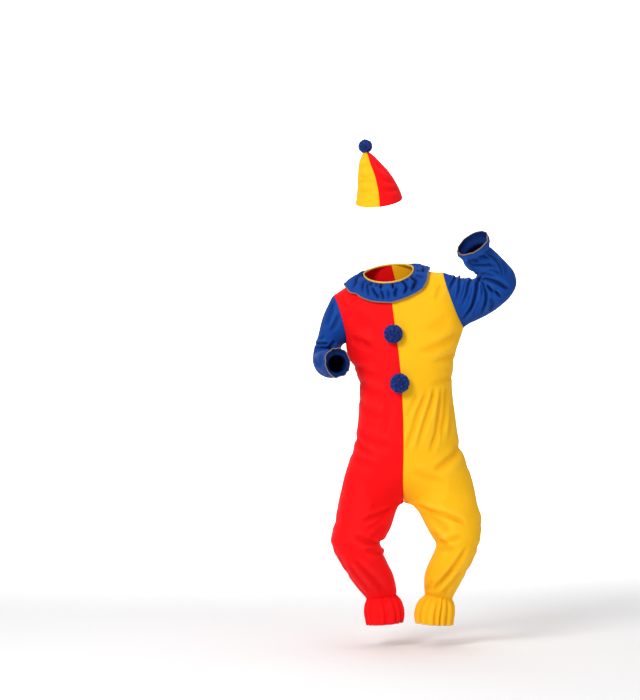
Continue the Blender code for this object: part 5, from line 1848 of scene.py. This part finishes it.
@dataclass(frozen=True)
class Pleat:
    """Trough of the ruffle: its line as (turn, reach), its width in millimetres and its depth."""

    line: tuple
    width: float
    depth: float

    def distance(self, turn: np.ndarray, reach: np.ndarray) -> tuple:
        """Distance from the trough's line.

        Args:
            turn: Places round the neck, 0 to 1 from the front.
            reach: Places from the binding to the edge, 0 to 1.

        Returns:
            The distance in metres and the fade towards both ends from 0 to 1.
        """
        round_way = 0.46 + 0.58 * reach
        best = np.full(np.broadcast(turn, reach).shape, 9.0)
        along = np.zeros_like(best)
        count = len(self.line) - 1
        for k in range(count):
            (u0, v0), (u1, v1) = self.line[k:k + 2]
            gap_u = (np.mod(turn - u0 + 0.5, 1.0) - 0.5) * round_way
            gap_v = (reach - v0) * COLLAR_WIDTH
            step_u, step_v = (u1 - u0) * round_way, (v1 - v0) * COLLAR_WIDTH
            part = np.clip((gap_u * step_u + gap_v * step_v) / (step_u ** 2 + step_v ** 2), 0.0, 1.0)
            gap = np.hypot(gap_u - part * step_u, gap_v - part * step_v)
            closer = gap < best
            best = np.where(closer, gap, best)
            along = np.where(closer, (k + part) / count, along)
        start = 1.0 if self.line[0][1] < 0.1 else 0.15
        fade = np.minimum(1.0, start + soft_step(along / 0.3)) * soft_step((1.0 - along) / 0.42)
        return best, fade


COLLAR_WIDTH = 76 * MM
CHEST_CORE = (8, 0, -130)
HIDDEN_PLEATS = 17
# Places round the neck, spread and millimetres by which the ruffle is wider or narrower.
COLLAR_CHANGES = ((0.29, 0.065, -21.0), (0.08, 0.07, -4.5), (0.925, 0.028, 3.0), (0.83, 0.01, 2.5),
                  (0.859, 0.013, -7.0))
COLLAR_PLEATS = (
    Pleat(((0.765, 0.03), (0.785, 0.33), (0.815, 0.5), (0.838, 0.92)), 4.0, 1.15),
    Pleat(((0.855, 0.04), (0.85, 0.3), (0.866, 0.55), (0.888, 0.86)), 3.2, 0.9),
    Pleat(((0.87, 0.16), (0.894, 0.5), (0.914, 0.92)), 2.6, 0.75),
    Pleat(((0.892, 0.03), (0.896, 0.36)), 3.4, 1.15),
    Pleat(((0.908, 0.28), (0.922, 0.5), (0.944, 0.74), (0.948, 0.96)), 3.0, 0.85),
    Pleat(((0.93, 0.05), (0.926, 0.3)), 2.2, 0.6),
    Pleat(((0.951, 0.03), (0.953, 0.4)), 3.4, 1.15),
    Pleat(((0.954, 0.36), (0.966, 0.68), (0.971, 0.95)), 2.6, 0.75),
    Pleat(((0.988, 0.38), (0.993, 0.62), (0.991, 0.92)), 3.2, 0.55),
    Pleat(((0.012, 0.03), (0.02, 0.42)), 3.2, 1.15),
    Pleat(((0.042, 0.3), (0.024, 0.58), (0.022, 0.9)), 4.2, 0.9),
    Pleat(((0.045, 0.04), (0.05, 0.26)), 2.2, 0.6),
    Pleat(((0.074, 0.05), (0.09, 0.32), (0.094, 0.54), (0.072, 0.72), (0.068, 0.9)), 3.6, 1.1),
    Pleat(((0.107, 0.06), (0.112, 0.34)), 2.4, 0.7),
    Pleat(((0.15, 0.05), (0.142, 0.34), (0.15, 0.6), (0.118, 0.74), (0.102, 0.86)), 4.2, 1.2),
    Pleat(((0.165, 0.3), (0.181, 0.6), (0.192, 0.9)), 3.0, 0.7),
    Pleat(((0.205, 0.05), (0.21, 0.4), (0.222, 0.75)), 2.8, 0.7),
    Pleat(((0.205, 0.72), (0.245, 0.6), (0.3, 0.55), (0.355, 0.4)), 3.8, 1.0),
    Pleat(((0.255, 0.04), (0.26, 0.3)), 2.6, 0.8),
    Pleat(((0.31, 0.04), (0.318, 0.34)), 2.6, 0.8),
    Pleat(((0.725, 0.05), (0.735, 0.4), (0.762, 0.66), (0.77, 0.9)), 3.0, 0.7),
)


@dataclass
class CollarRuffle:
    """Gathered blue ruffle with its tan edge and the gold binding of the neckline."""

    wardrobe: Wardrobe
    tree: BVHTree
    width: float = COLLAR_WIDTH
    lift: float = 2.6 * MM
    flute: float = 5.6 * MM
    columns: int = 720
    rows: int = 26
    slope: float = 22.0
    side_slope: float = 42.0
    clearance: float = 2.0 * MM
    longest_lift: float = 3.0 * MM
    head_rise: tuple = (1.1, 0.5)
    binding_height: float = 6.5 * MM
    binding_wall: float = 3.8 * MM
    binding_columns: int = 300
    binding_sides: int = 14

    @staticmethod
    def neck(turn: np.ndarray) -> np.ndarray:
        """Neckline points for a whole turn that starts at the front.

        Args:
            turn: Places round the neck.

        Returns:
            The points.
        """
        turn = np.mod(turn, 1.0)
        right = neckline(1, np.minimum(turn * 2.0, 1.0))
        left = neckline(-1, np.clip(2.0 - turn * 2.0, 0.0, 1.0))
        return np.where((turn <= 0.5)[:, None], right, left)

    @staticmethod
    def level_way(edge: np.ndarray) -> np.ndarray:
        """Level direction away from the neck at each neckline point.

        Args:
            edge: Points of the neckline.

        Returns:
            Unit vectors without a height.
        """
        level = edge - mm(NECKLINE.middle)
        level[:, 2] = 0.0
        return unit(level)

    def base(self) -> tuple:
        """Surface of the panels under the ruffle.

        Returns:
            Points and outward directions as rows and columns.
        """
        turn = np.arange(self.columns) / self.columns
        edge = self.neck(turn)
        level = self.level_way(edge)
        widths = self.widths()[:, None]
        slope = np.radians(self.slope + self.side_slope * np.abs(level[:, 1:2]))
        away = level * np.cos(slope) + np.array([0.0, 0.0, -1.0]) * np.sin(slope)
        core = mm(CHEST_CORE)
        places, outwards = [], []
        for reach in np.linspace(0.0, 1.0, self.rows):
            aim = edge + away * widths * reach
            line, out = [], []
            for goal in aim:
                place, normal, _, _ = self.tree.find_nearest(Vector(goal))
                outward = (normal + Vector(goal - core).normalized()).normalized()
                above, _, _, _ = self.tree.ray_cast(place + outward * 0.04, -outward)
                if above is not None and (above - place).dot(outward) > 0.0:
                    place = above
                line.append(place)
                out.append(outward)
            places.append(line)
            outwards.append(out)
        out = unit(self.smooth(np.array(outwards), 20))
        inward = np.maximum(0.0, 0.3 - (out * level[None]).sum(2, keepdims=True))
        return self.smooth(np.array(places), 14), unit(self.smooth(out + level[None] * inward, 40))

    @staticmethod
    def smooth(values: np.ndarray, rounds: int) -> np.ndarray:
        """Evens out rows and closed columns.

        Args:
            values: Rows and columns of points or vectors.
            rounds: How often they are evened out.

        Returns:
            The evened values.
        """
        for _ in range(rounds):
            values = 0.25 * np.roll(values, 1, 1) + 0.5 * values + 0.25 * np.roll(values, -1, 1)
            values[1:-1] = 0.25 * values[:-2] + 0.5 * values[1:-1] + 0.25 * values[2:]
        return values

    def widths(self) -> np.ndarray:
        """Width of the ruffle round the neck, with its unevenness.

        Returns:
            One width for each column, in metres.
        """
        turn = np.arange(self.columns) / self.columns
        total = self.width + 0.8 * MM * np.sin(math.tau * 5.0 * turn + 0.4)
        for place, spread, change in COLLAR_CHANGES:
            gap = np.mod(turn - place + 0.5, 1.0) - 0.5
            total = total + change * MM * bell(gap / spread)
        return total

    def flutes(self) -> tuple:
        """Gathers over the base: the listed pleats and chance ones behind.

        Returns:
            Their height in metres and the painted shade of their troughs from 0 to 1, below zero for a
            painted highlight on their crowns, as rows and columns.
        """
        reach = np.linspace(0.0, 1.0, self.rows)[:, None]
        turn = (np.arange(self.columns) / self.columns)[None, :]
        narrow = np.zeros((self.rows, self.columns))
        broad = np.zeros_like(narrow)
        for pleat in COLLAR_PLEATS + self.hidden_pleats():
            gap, along = pleat.distance(turn, reach)
            width = pleat.width * MM * (0.75 + 0.6 * reach)
            narrow += pleat.depth * along * bell(gap / width)
            broad += 0.5 * pleat.depth * along * bell(gap / (3.0 * width))
        trough = np.clip(0.75 * narrow + 0.6 * broad, 0.0, 1.2)
        crown = 0.62 + 0.38 * np.sin(math.pi * np.minimum(1.0, reach * 1.05))
        crown = crown * soft_step(reach / 0.12)
        shoulder = 1.0 + 0.6 * bell((turn - 0.28) / 0.07) + 0.5 * bell((turn - 0.745) / 0.055)
        angle = math.tau * turn
        small = 0.9 * MM * np.cos(57.0 * angle + 1.8 * np.sin(4.0 * angle)) * np.exp(-reach / 0.2)
        wave = 1.0 * MM * np.sin(13.0 * angle + 2.0 * np.sin(3.0 * angle)) * reach
        height = (2.0 * self.flute * crown * shoulder * (1.15 - trough)
                  + small * soft_step(reach * 12.0) + wave)
        # painted highlight on the crowns between troughs
        crest_highlight = 0.2 * (1.0 - soft_step(trough / 0.3)) * soft_step(reach / 0.2)
        return height, np.clip(0.85 * narrow + 0.45 * broad, 0.0, 1.0) - crest_highlight

    @staticmethod
    def hidden_pleats() -> tuple:
        """Pleats of the part that the front doesn't show, each a little different.

        Returns:
            The pleats.
        """
        chance = np.random.default_rng(19)
        pleats = []
        for number in range(HIDDEN_PLEATS):
            start = 0.37 + 0.38 * (number + 0.5 + chance.uniform(-0.25, 0.25)) / HIDDEN_PLEATS
            lean, bow = chance.uniform(-0.006, 0.006, 2)
            if number % 3 == 1:
                line = ((start, 0.04), (start + lean * 0.4, 0.32))
                pleats.append(Pleat(line, 2.6, chance.uniform(0.8, 1.1)))
                continue
            first, last = chance.uniform(0.06, 0.3), chance.uniform(0.75, 0.98)
            line = ((start, first), (start + lean + bow, (first + last) / 2.0),
                    (start + 1.6 * lean, last))
            pleats.append(Pleat(line, chance.uniform(2.6, 3.8), chance.uniform(0.65, 1.05)))
        return tuple(pleats)

    def build(self) -> None:
        """Makes the ruffle, its edge and the binding."""
        places, outwards = self.base()
        reach = np.linspace(0.0, 1.0, self.rows)[:, None, None]
        height = self.lift * soft_step(reach * 8.0 + 0.35) + 2.4 * MM * reach
        gathers, trough = self.flutes()
        points = places + outwards * (height + gathers[:, :, None])
        points = self.keep_clear(points, outwards)
        points[:2, :, 2] += np.array(self.head_rise)[:, None] * MM
        grid = ClothGrid("collar_ruffle", points, np.zeros(points.shape[:2]), flip=False,
                         closed=True, seams=(Seam.TOP,))
        # painted shade in the troughs and along the root of the ruffle next to the binding, painted
        # highlight on the crowns
        grid.crease = np.clip(trough + 0.4 * np.exp(-reach[:, :, 0] / 0.05), -1.0, 1.0)
        blue = self.wardrobe.blue
        ruffle = grid.build(blue.material(), blue.material(wrong_side=True))
        thread = EdgeThread("collar_edge", points[-1], outwards[-1], self.wardrobe.edge,
                            COLLAR_THREAD).build()
        dress(ruffle, "blue", "collar_ruffle")
        dress(thread, "blue")
        band = self.binding()
        dress(band, "binding", "neck_binding")
        under = ("front_red", "front_gold", "back_red", "back_gold")
        CUTS["collar_ruffle"].declare(ruffle, rests_on=under, with_pieces=(thread, band))

    def keep_clear(self, points: np.ndarray, outwards: np.ndarray) -> np.ndarray:
        """Lifts the ruffle wherever it comes too close to a panel.

        Args:
            points: The ruffle's points.
            outwards: The way out of the suit at each.

        Returns:
            The lifted points.
        """
        for _ in range(3):
            need = np.zeros(points.shape[:2])
            for row in range(points.shape[0]):
                for column in range(points.shape[1]):
                    probe, way = Vector(points[row, column]), Vector(outwards[row, column])
                    under, _, _, _ = self.tree.ray_cast(probe + way * 0.03, -way)
                    if under is not None:
                        short = self.clearance - (probe - under).dot(way)
                        short = min(max(0.0, short), self.longest_lift)
                        need[row, column] = short * min(1.0, row / 3.0)
            if not need.any():
                break
            need = self.smooth(need[:, :, None], 3)
            points = points + outwards * need * 1.4
        return points

    def binding(self) -> bpy.types.Object:
        """Makes the folded band that caps the neckline.

        Returns:
            The band.
        """
        turn = np.arange(self.binding_columns) / self.binding_columns
        edge = self.neck(turn)
        along = unit(np.roll(edge, -1, 0) - np.roll(edge, 1, 0))
        out = self.level_way(edge.copy())
        out = unit(out - along * (out * along).sum(1, keepdims=True))
        up = np.cross(out, along)
        up = np.where(up[:, 2:] < 0.0, -up, up)
        uneven = 1.0 + 0.05 * np.sin(17.0 * math.tau * turn) + 0.04 * np.sin(29.0 * math.tau * turn)
        half_wall, half_height = self.binding_wall / 2.0, self.binding_height / 2.0
        angle = math.tau * np.arange(self.binding_sides) / self.binding_sides
        wide = np.sign(np.cos(angle)) * np.abs(np.cos(angle)) ** 0.7 * half_wall
        tall = np.sign(np.sin(angle)) * np.abs(np.sin(angle)) ** 0.7 * half_height
        centre = edge + up * (0.6 * MM + half_height)
        rings = (centre[:, None] + out[:, None] * wide[None, :, None] * uneven[:, None, None]
                 + up[:, None] * tall[None, :, None])
        return closed_tube("neck_binding_band", rings, self.wardrobe.binding.material())


GOLDEN_ANGLE = math.pi * (3.0 - math.sqrt(5.0))


@dataclass
class YarnPompom:
    """Ball of cut yarn on a flat backing."""

    node: str
    middle: tuple
    outward: tuple
    radius: float
    finish: YarnFinish
    strands: int = 900
    thickness: float = 2.2
    seat_share: float = 0.66
    root_share: float = 0.28
    seed: int = 3

    def strand(self) -> tuple:
        """Models one strand of yarn from a small cone.

        Returns:
            Its points, from z 0 at the root to 1 at the cut end, and its faces.
        """
        select_only(None)
        bpy.ops.mesh.primitive_cone_add(vertices=3, radius1=0.75, radius2=1.0, depth=1.0,
                                        end_fill_type="NGON", location=(0.0, 0.0, 0.5))
        cone = bpy.context.object
        bpy.ops.object.mode_set(mode="EDIT")
        for level in (0.45, 0.8):
            bpy.ops.mesh.select_all(action="SELECT")
            bpy.ops.mesh.bisect(plane_co=(0.0, 0.0, level), plane_no=(0.0, 0.0, 1.0))
        bpy.ops.object.mode_set(mode="OBJECT")
        points = np.array([tuple(cone.matrix_world @ v.co) for v in cone.data.vertices])
        faces = [list(face.vertices) for face in cone.data.polygons
                 if max(points[v][2] for v in face.vertices) > 0.01]
        bpy.data.objects.remove(cone, do_unlink=True)
        return points, faces

    def ways(self, chance: np.random.Generator) -> np.ndarray:
        """Directions of the strands, evenly spread but for a little chance.

        Args:
            chance: Source of the chance.

        Returns:
            One unit vector for each strand.
        """
        number = np.arange(self.strands)
        height = 1.0 - (2.0 * number + 1.0) / self.strands
        angle = number * GOLDEN_ANGLE
        flat = np.sqrt(1.0 - height ** 2)
        way = np.stack([flat * np.cos(angle), flat * np.sin(angle), height], 1)
        return unit(way + chance.normal(0.0, 0.035, way.shape))

    def lay_strands(self, points: np.ndarray, chance: np.random.Generator) -> np.ndarray:
        """Sets a copy of the strand along each direction, cut short at the backing.

        Args:
            points: Points of the strand.
            chance: Source of the chance.

        Returns:
            The points of all strands, in metres.
        """
        way = self.ways(chance)
        behind = np.maximum(1e-6, -(way @ np.array(self.outward)))
        reach = self.radius * chance.uniform(0.86, 1.03, self.strands)
        reach = np.minimum(reach, self.radius * self.seat_share / behind - 0.3)
        upright, level = np.array([0.0, 0.0, 1.0]), np.array([1.0, 0.0, 0.0])
        side = unit(np.cross(way, np.where(np.abs(way[:, 2:]) < 0.9, upright, level)))
        other = np.cross(way, side)
        spin = chance.uniform(0.0, math.tau, self.strands)[:, None]
        curl = chance.normal(0.0, 1.3, (self.strands, 2))
        across, over = points[None, :, 0] * self.thickness, points[None, :, 1] * self.thickness
        turn_x = across * np.cos(spin) - over * np.sin(spin)
        turn_y = across * np.sin(spin) + over * np.cos(spin)
        rise = points[None, :, 2]
        bow = np.sin(rise * math.pi) * 0.6
        root = self.root_share * self.radius
        far = root + (reach[:, None] - root) * rise
        made = (way[:, None] * far[:, :, None]
                + side[:, None] * (turn_x + curl[:, :1] * bow)[:, :, None]
                + other[:, None] * (turn_y + curl[:, 1:] * bow)[:, :, None])
        return made * MM + mm(self.middle)

    def build(self) -> None:
        """Makes the ball from its strands and dresses it."""
        points, faces = self.strand()
        chance = np.random.default_rng(self.seed)
        made = self.lay_strands(points, chance)
        count = len(points)
        all_faces = [[v + k * count for v in face] for k in range(self.strands) for face in faces]
        name = self.node + "_yarn"
        mesh = bpy.data.meshes.new(name)
        mesh.from_pydata(made.reshape(-1, 3).tolist(), [], all_faces)
        store(mesh, "tone", np.repeat(chance.uniform(0.0, 1.0, self.strands), count))
        store(mesh, "reach", np.tile(points[:, 2], self.strands))
        ball = place_mesh(name, mesh, self.finish.material())
        shade(ball, 70.0)
        dress(ball, "yarn", self.node)


def pompoms(yarn: YarnFinish) -> tuple:
    """The two pompoms of the suit's front and the smaller one of the hat.

    Args:
        yarn: Their finish.

    Returns:
        The pompoms, each on its solid's place.
    """
    return (
        YarnPompom("pompom_upper", (10.14, -133.8, -248.01), (-0.2422, -0.9623, 0.1237), 35.5, yarn),
        YarnPompom("pompom_lower", (32.79, -154.12, -430.18), (-0.2072, -0.9778, 0.0324), 37.0, yarn,
                   seed=5),
        YarnPompom("hat_pompom", (-90.49, -10.0, 455.32), (-0.3024, 0.0, 0.9532), 27.0, yarn,
                   strands=620, thickness=2.0, seat_share=0.93, seed=8))


@dataclass
class ConeHat:
    """Soft cone hat in two colours."""

    wardrobe: Wardrobe
    columns: int = 56
    steps: int = 8
    hem_wave: float = 0.8 * MM

    def ring(self, index: int, share: np.ndarray, sign: int) -> np.ndarray:
        """Points of a ring, from the front seam past the side to the back seam.

        Args:
            index: Number of the ring from the hem up.
            share: Places from the front seam to the back seam.
            sign: 1 for the red half, -1 for the gold one.

        Returns:
            The points.
        """
        if index >= len(HAT_ROWS):
            return np.tile(mm(HAT_APEX), (len(share), 1))
        row = HAT_ROWS[index]
        left, right = mm((row.left[0], HAT_Y, row.left[1])), mm((row.right[0], HAT_Y, row.right[1]))
        middle = (left + right) / 2.0
        front = mm((0.0, -row.half_depth, -row.dip))
        side = (right if sign > 0 else left) - middle
        angle = math.pi * share
        return middle + side * np.sin(angle)[:, None] + front * np.cos(angle)[:, None]

    def grid(self, name: str, sign: int) -> ClothGrid:
        """Lays out one half of the hat, from its tip down to its hem.

        Args:
            name: Name of the half.
            sign: 1 for the red half, -1 for the gold one.

        Returns:
            The half's grid.
        """
        share = np.linspace(0.0, 1.0, self.columns + 1)
        top = len(HAT_ROWS)
        rows = []
        for number in range(top * self.steps, -1, -1):
            v = number / self.steps
            base = min(int(v), top - 1)
            quad = [self.ring(max(0, base + k), share, sign) for k in (-1, 0, 1, 2)]
            if base == 0:
                quad[0] = 2.0 * quad[1] - quad[2]
            rows.append(catmull(*quad, v - base))
        points = np.stack(rows)
        grid = ClothGrid(name, points, np.zeros(points.shape[:2]), flip=sign < 0)
        across, _ = grid.flat_lengths()
        gap = np.minimum(across, across[:, -1:] - across)
        grid.lift = -SEAM_SINK * bell(gap / SEAM_SPREAD)
        hem = (np.arange(len(points))[::-1] / self.steps)[:, None]
        turn = math.pi * share[None, :]
        hem_wave = self.hem_wave * bell((hem - 0.05) / 0.35) * np.sin(9.0 * turn)
        grid.lift = grid.lift + hem_wave * np.sin(turn)
        grid.lift[0] = 0.0
        return grid

    def build(self) -> None:
        """Makes both halves and dresses them."""
        red, gold = self.grid("hat_red", 1), self.grid("hat_gold", -1)
        lay_folds([red, gold], [HAT_FOLDS, HAT_FOLDS])
        for grid, finish, slot in ((red, self.wardrobe.red, "red"), (gold, self.wardrobe.gold, "gold")):
            grid.points[0] = mm(HAT_APEX)
            piece = grid.build(finish.material(), finish.material(wrong_side=True))
            select_only(piece)
            bpy.ops.object.mode_set(mode="EDIT")
            bpy.ops.mesh.select_all(action="SELECT")
            bpy.ops.mesh.remove_doubles(threshold=0.00002)
            bpy.ops.object.mode_set(mode="OBJECT")
            dress(piece, slot, grid.name)
            CUTS[grid.name].declare(piece)


@dataclass(frozen=True)
class SoftLight:
    """Square studio light: where it stands, what it points at, its side and its watts."""

    name: str
    place: tuple
    aim: tuple
    size: float
    power: float

    def build(self) -> None:
        """Adds the light and turns it to its aim."""
        lamp = bpy.data.lights.new(self.name, "AREA")
        lamp.shape = "SQUARE"
        lamp.size = self.size
        lamp.energy = self.power
        holder = bpy.data.objects.new(self.name, lamp)
        holder.location = self.place
        holder.rotation_mode = "QUATERNION"
        holder.rotation_quaternion = (Vector(self.aim) - Vector(self.place)).to_track_quat("-Z", "Y")
        bpy.context.scene.collection.objects.link(holder)


@dataclass
class Studio:
    """Pale paper sweep, soft lights and the camera."""

    floor: float = STUDIO_FLOOR
    paper_size: float = 28.0
    paper_middle: float = -2.0
    backdrop_rise: float = 7.0
    bend_radius: float = 3.0
    air_strength: float = 0.42
    camera_place: tuple = (-0.2606, -9.0, -0.3075)
    lens: float = 123.43
    lights: tuple = (
        SoftLight("key", (-3.0, -4.4, 2.6), (0.05, 0.0, -0.5), 2.2, 225.0),
        SoftLight("fill", (3.4, -5.0, 0.9), (0.05, 0.0, -0.6), 3.2, 46.0),
        SoftLight("top", (0.2, 0.4, 3.4), (0.05, 0.0, -0.4), 3.0, 52.0),
        SoftLight("back", (-1.5, 3.4, 1.2), (0.05, 0.0, -0.5), 2.4, 20.0),
        SoftLight("backdrop", (0.0, 6.5, 4.5), (0.0, 12.0, -0.6), 5.0, 900.0))

    def build(self) -> None:
        """Sets up sweep, lights, world and camera."""
        self.sweep()
        for light in self.lights:
            light.build()
        world = bpy.data.worlds.new("studio_air")
        bpy.context.scene.world = world
        world.use_nodes = True
        air = world.node_tree.nodes["Background"]
        air.inputs["Color"].default_value = (1.0, 1.0, 1.0, 1.0)
        air.inputs["Strength"].default_value = self.air_strength
        self.camera()
        bpy.context.scene.view_settings.view_transform = "Standard"

    def camera(self) -> None:
        """Sets up the camera, level and square to the front."""
        camera = bpy.data.objects.new("camera", bpy.data.cameras.new("camera"))
        camera.location = self.camera_place
        camera.rotation_euler = (math.pi / 2.0, 0.0, 0.0)
        camera.data.sensor_width = 36.0
        camera.data.lens = self.lens
        camera.data.clip_end = 100.0
        bpy.context.scene.collection.objects.link(camera)
        bpy.context.scene.camera = camera

    def sweep(self) -> None:
        """Makes the floor that rises softly into a backdrop."""
        select_only(None)
        place = (0.0, self.paper_middle, self.floor)
        bpy.ops.mesh.primitive_plane_add(size=self.paper_size, location=place)
        paper = bpy.context.object
        bpy.ops.object.transform_apply(location=True, rotation=False, scale=False)
        bpy.ops.object.mode_set(mode="EDIT")
        bpy.ops.mesh.select_mode(type="EDGE")
        bpy.ops.mesh.select_all(action="DESELECT")
        bpy.ops.object.mode_set(mode="OBJECT")
        far_end = self.paper_middle + self.paper_size / 2.0
        for edge in paper.data.edges:
            ends = [paper.data.vertices[v].co.y for v in edge.vertices]
            edge.select = min(ends) > far_end - 0.1
        bpy.ops.object.mode_set(mode="EDIT")
        rise = (0.0, 0.0, self.backdrop_rise)
        bpy.ops.mesh.extrude_region_move(TRANSFORM_OT_translate={"value": rise})
        bpy.ops.object.mode_set(mode="OBJECT")
        bend = paper.modifiers.new("bend", "BEVEL")
        bend.width = self.bend_radius
        bend.segments = 24
        bend.limit_method = "ANGLE"
        apply_modifiers(paper)
        shade(paper, 40.0)
        paper.name = "studio_paper"
        paper.data.materials.append(PaperFinish("pale_paper", (0.9, 0.9, 0.905, 1.0)).material())


@dataclass(frozen=True)
class Cut:
    """Flat cut of a cloth piece: width, length and area in metres, and how it is held."""

    width: float
    length: float
    area: float
    held: Held

    def declare(self, piece: bpy.types.Object, rests_on: tuple = (), with_pieces: tuple = ()) -> None:
        """Does nothing."""


CUTS = {
    "front_red": Cut(0.40, 1.48, 0.37, Held.HUNG),
    "front_gold": Cut(0.40, 1.48, 0.37, Held.HUNG),
    "back_red": Cut(0.39, 1.50, 0.375, Held.HUNG),
    "back_gold": Cut(0.39, 1.50, 0.375, Held.HUNG),
    "sleeve_right": Cut(0.52, 0.50, 0.155, Held.GATHERED),
    "sleeve_left": Cut(0.52, 0.50, 0.155, Held.GATHERED),
    "collar_ruffle": Cut(0.085, 1.0, 0.085, Held.GATHERED),
    "hat_red": Cut(0.29, 0.245, 0.038, Held.HUNG),
    "hat_gold": Cut(0.29, 0.245, 0.038, Held.HUNG),
}


def corners(box: tuple) -> list:
    """Lowest and highest corner of a box as lists of numbers."""
    return [list(map(float, corner)) for corner in box]


def main() -> None:
    """Builds suit, collar, pompoms, hat and studio."""
    logging.basicConfig(level=logging.INFO, format="%(message)s")
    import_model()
    select_only(None)
    wardrobe = Wardrobe()
    suit = Jumpsuit(wardrobe)
    suit.build()
    CollarRuffle(wardrobe, suit.panel_tree()).build()
    for pompom in pompoms(wardrobe.yarn):
        pompom.build()
    ConeHat(wardrobe).build()
    Studio().build()


if __name__ == "__main__":
    main()
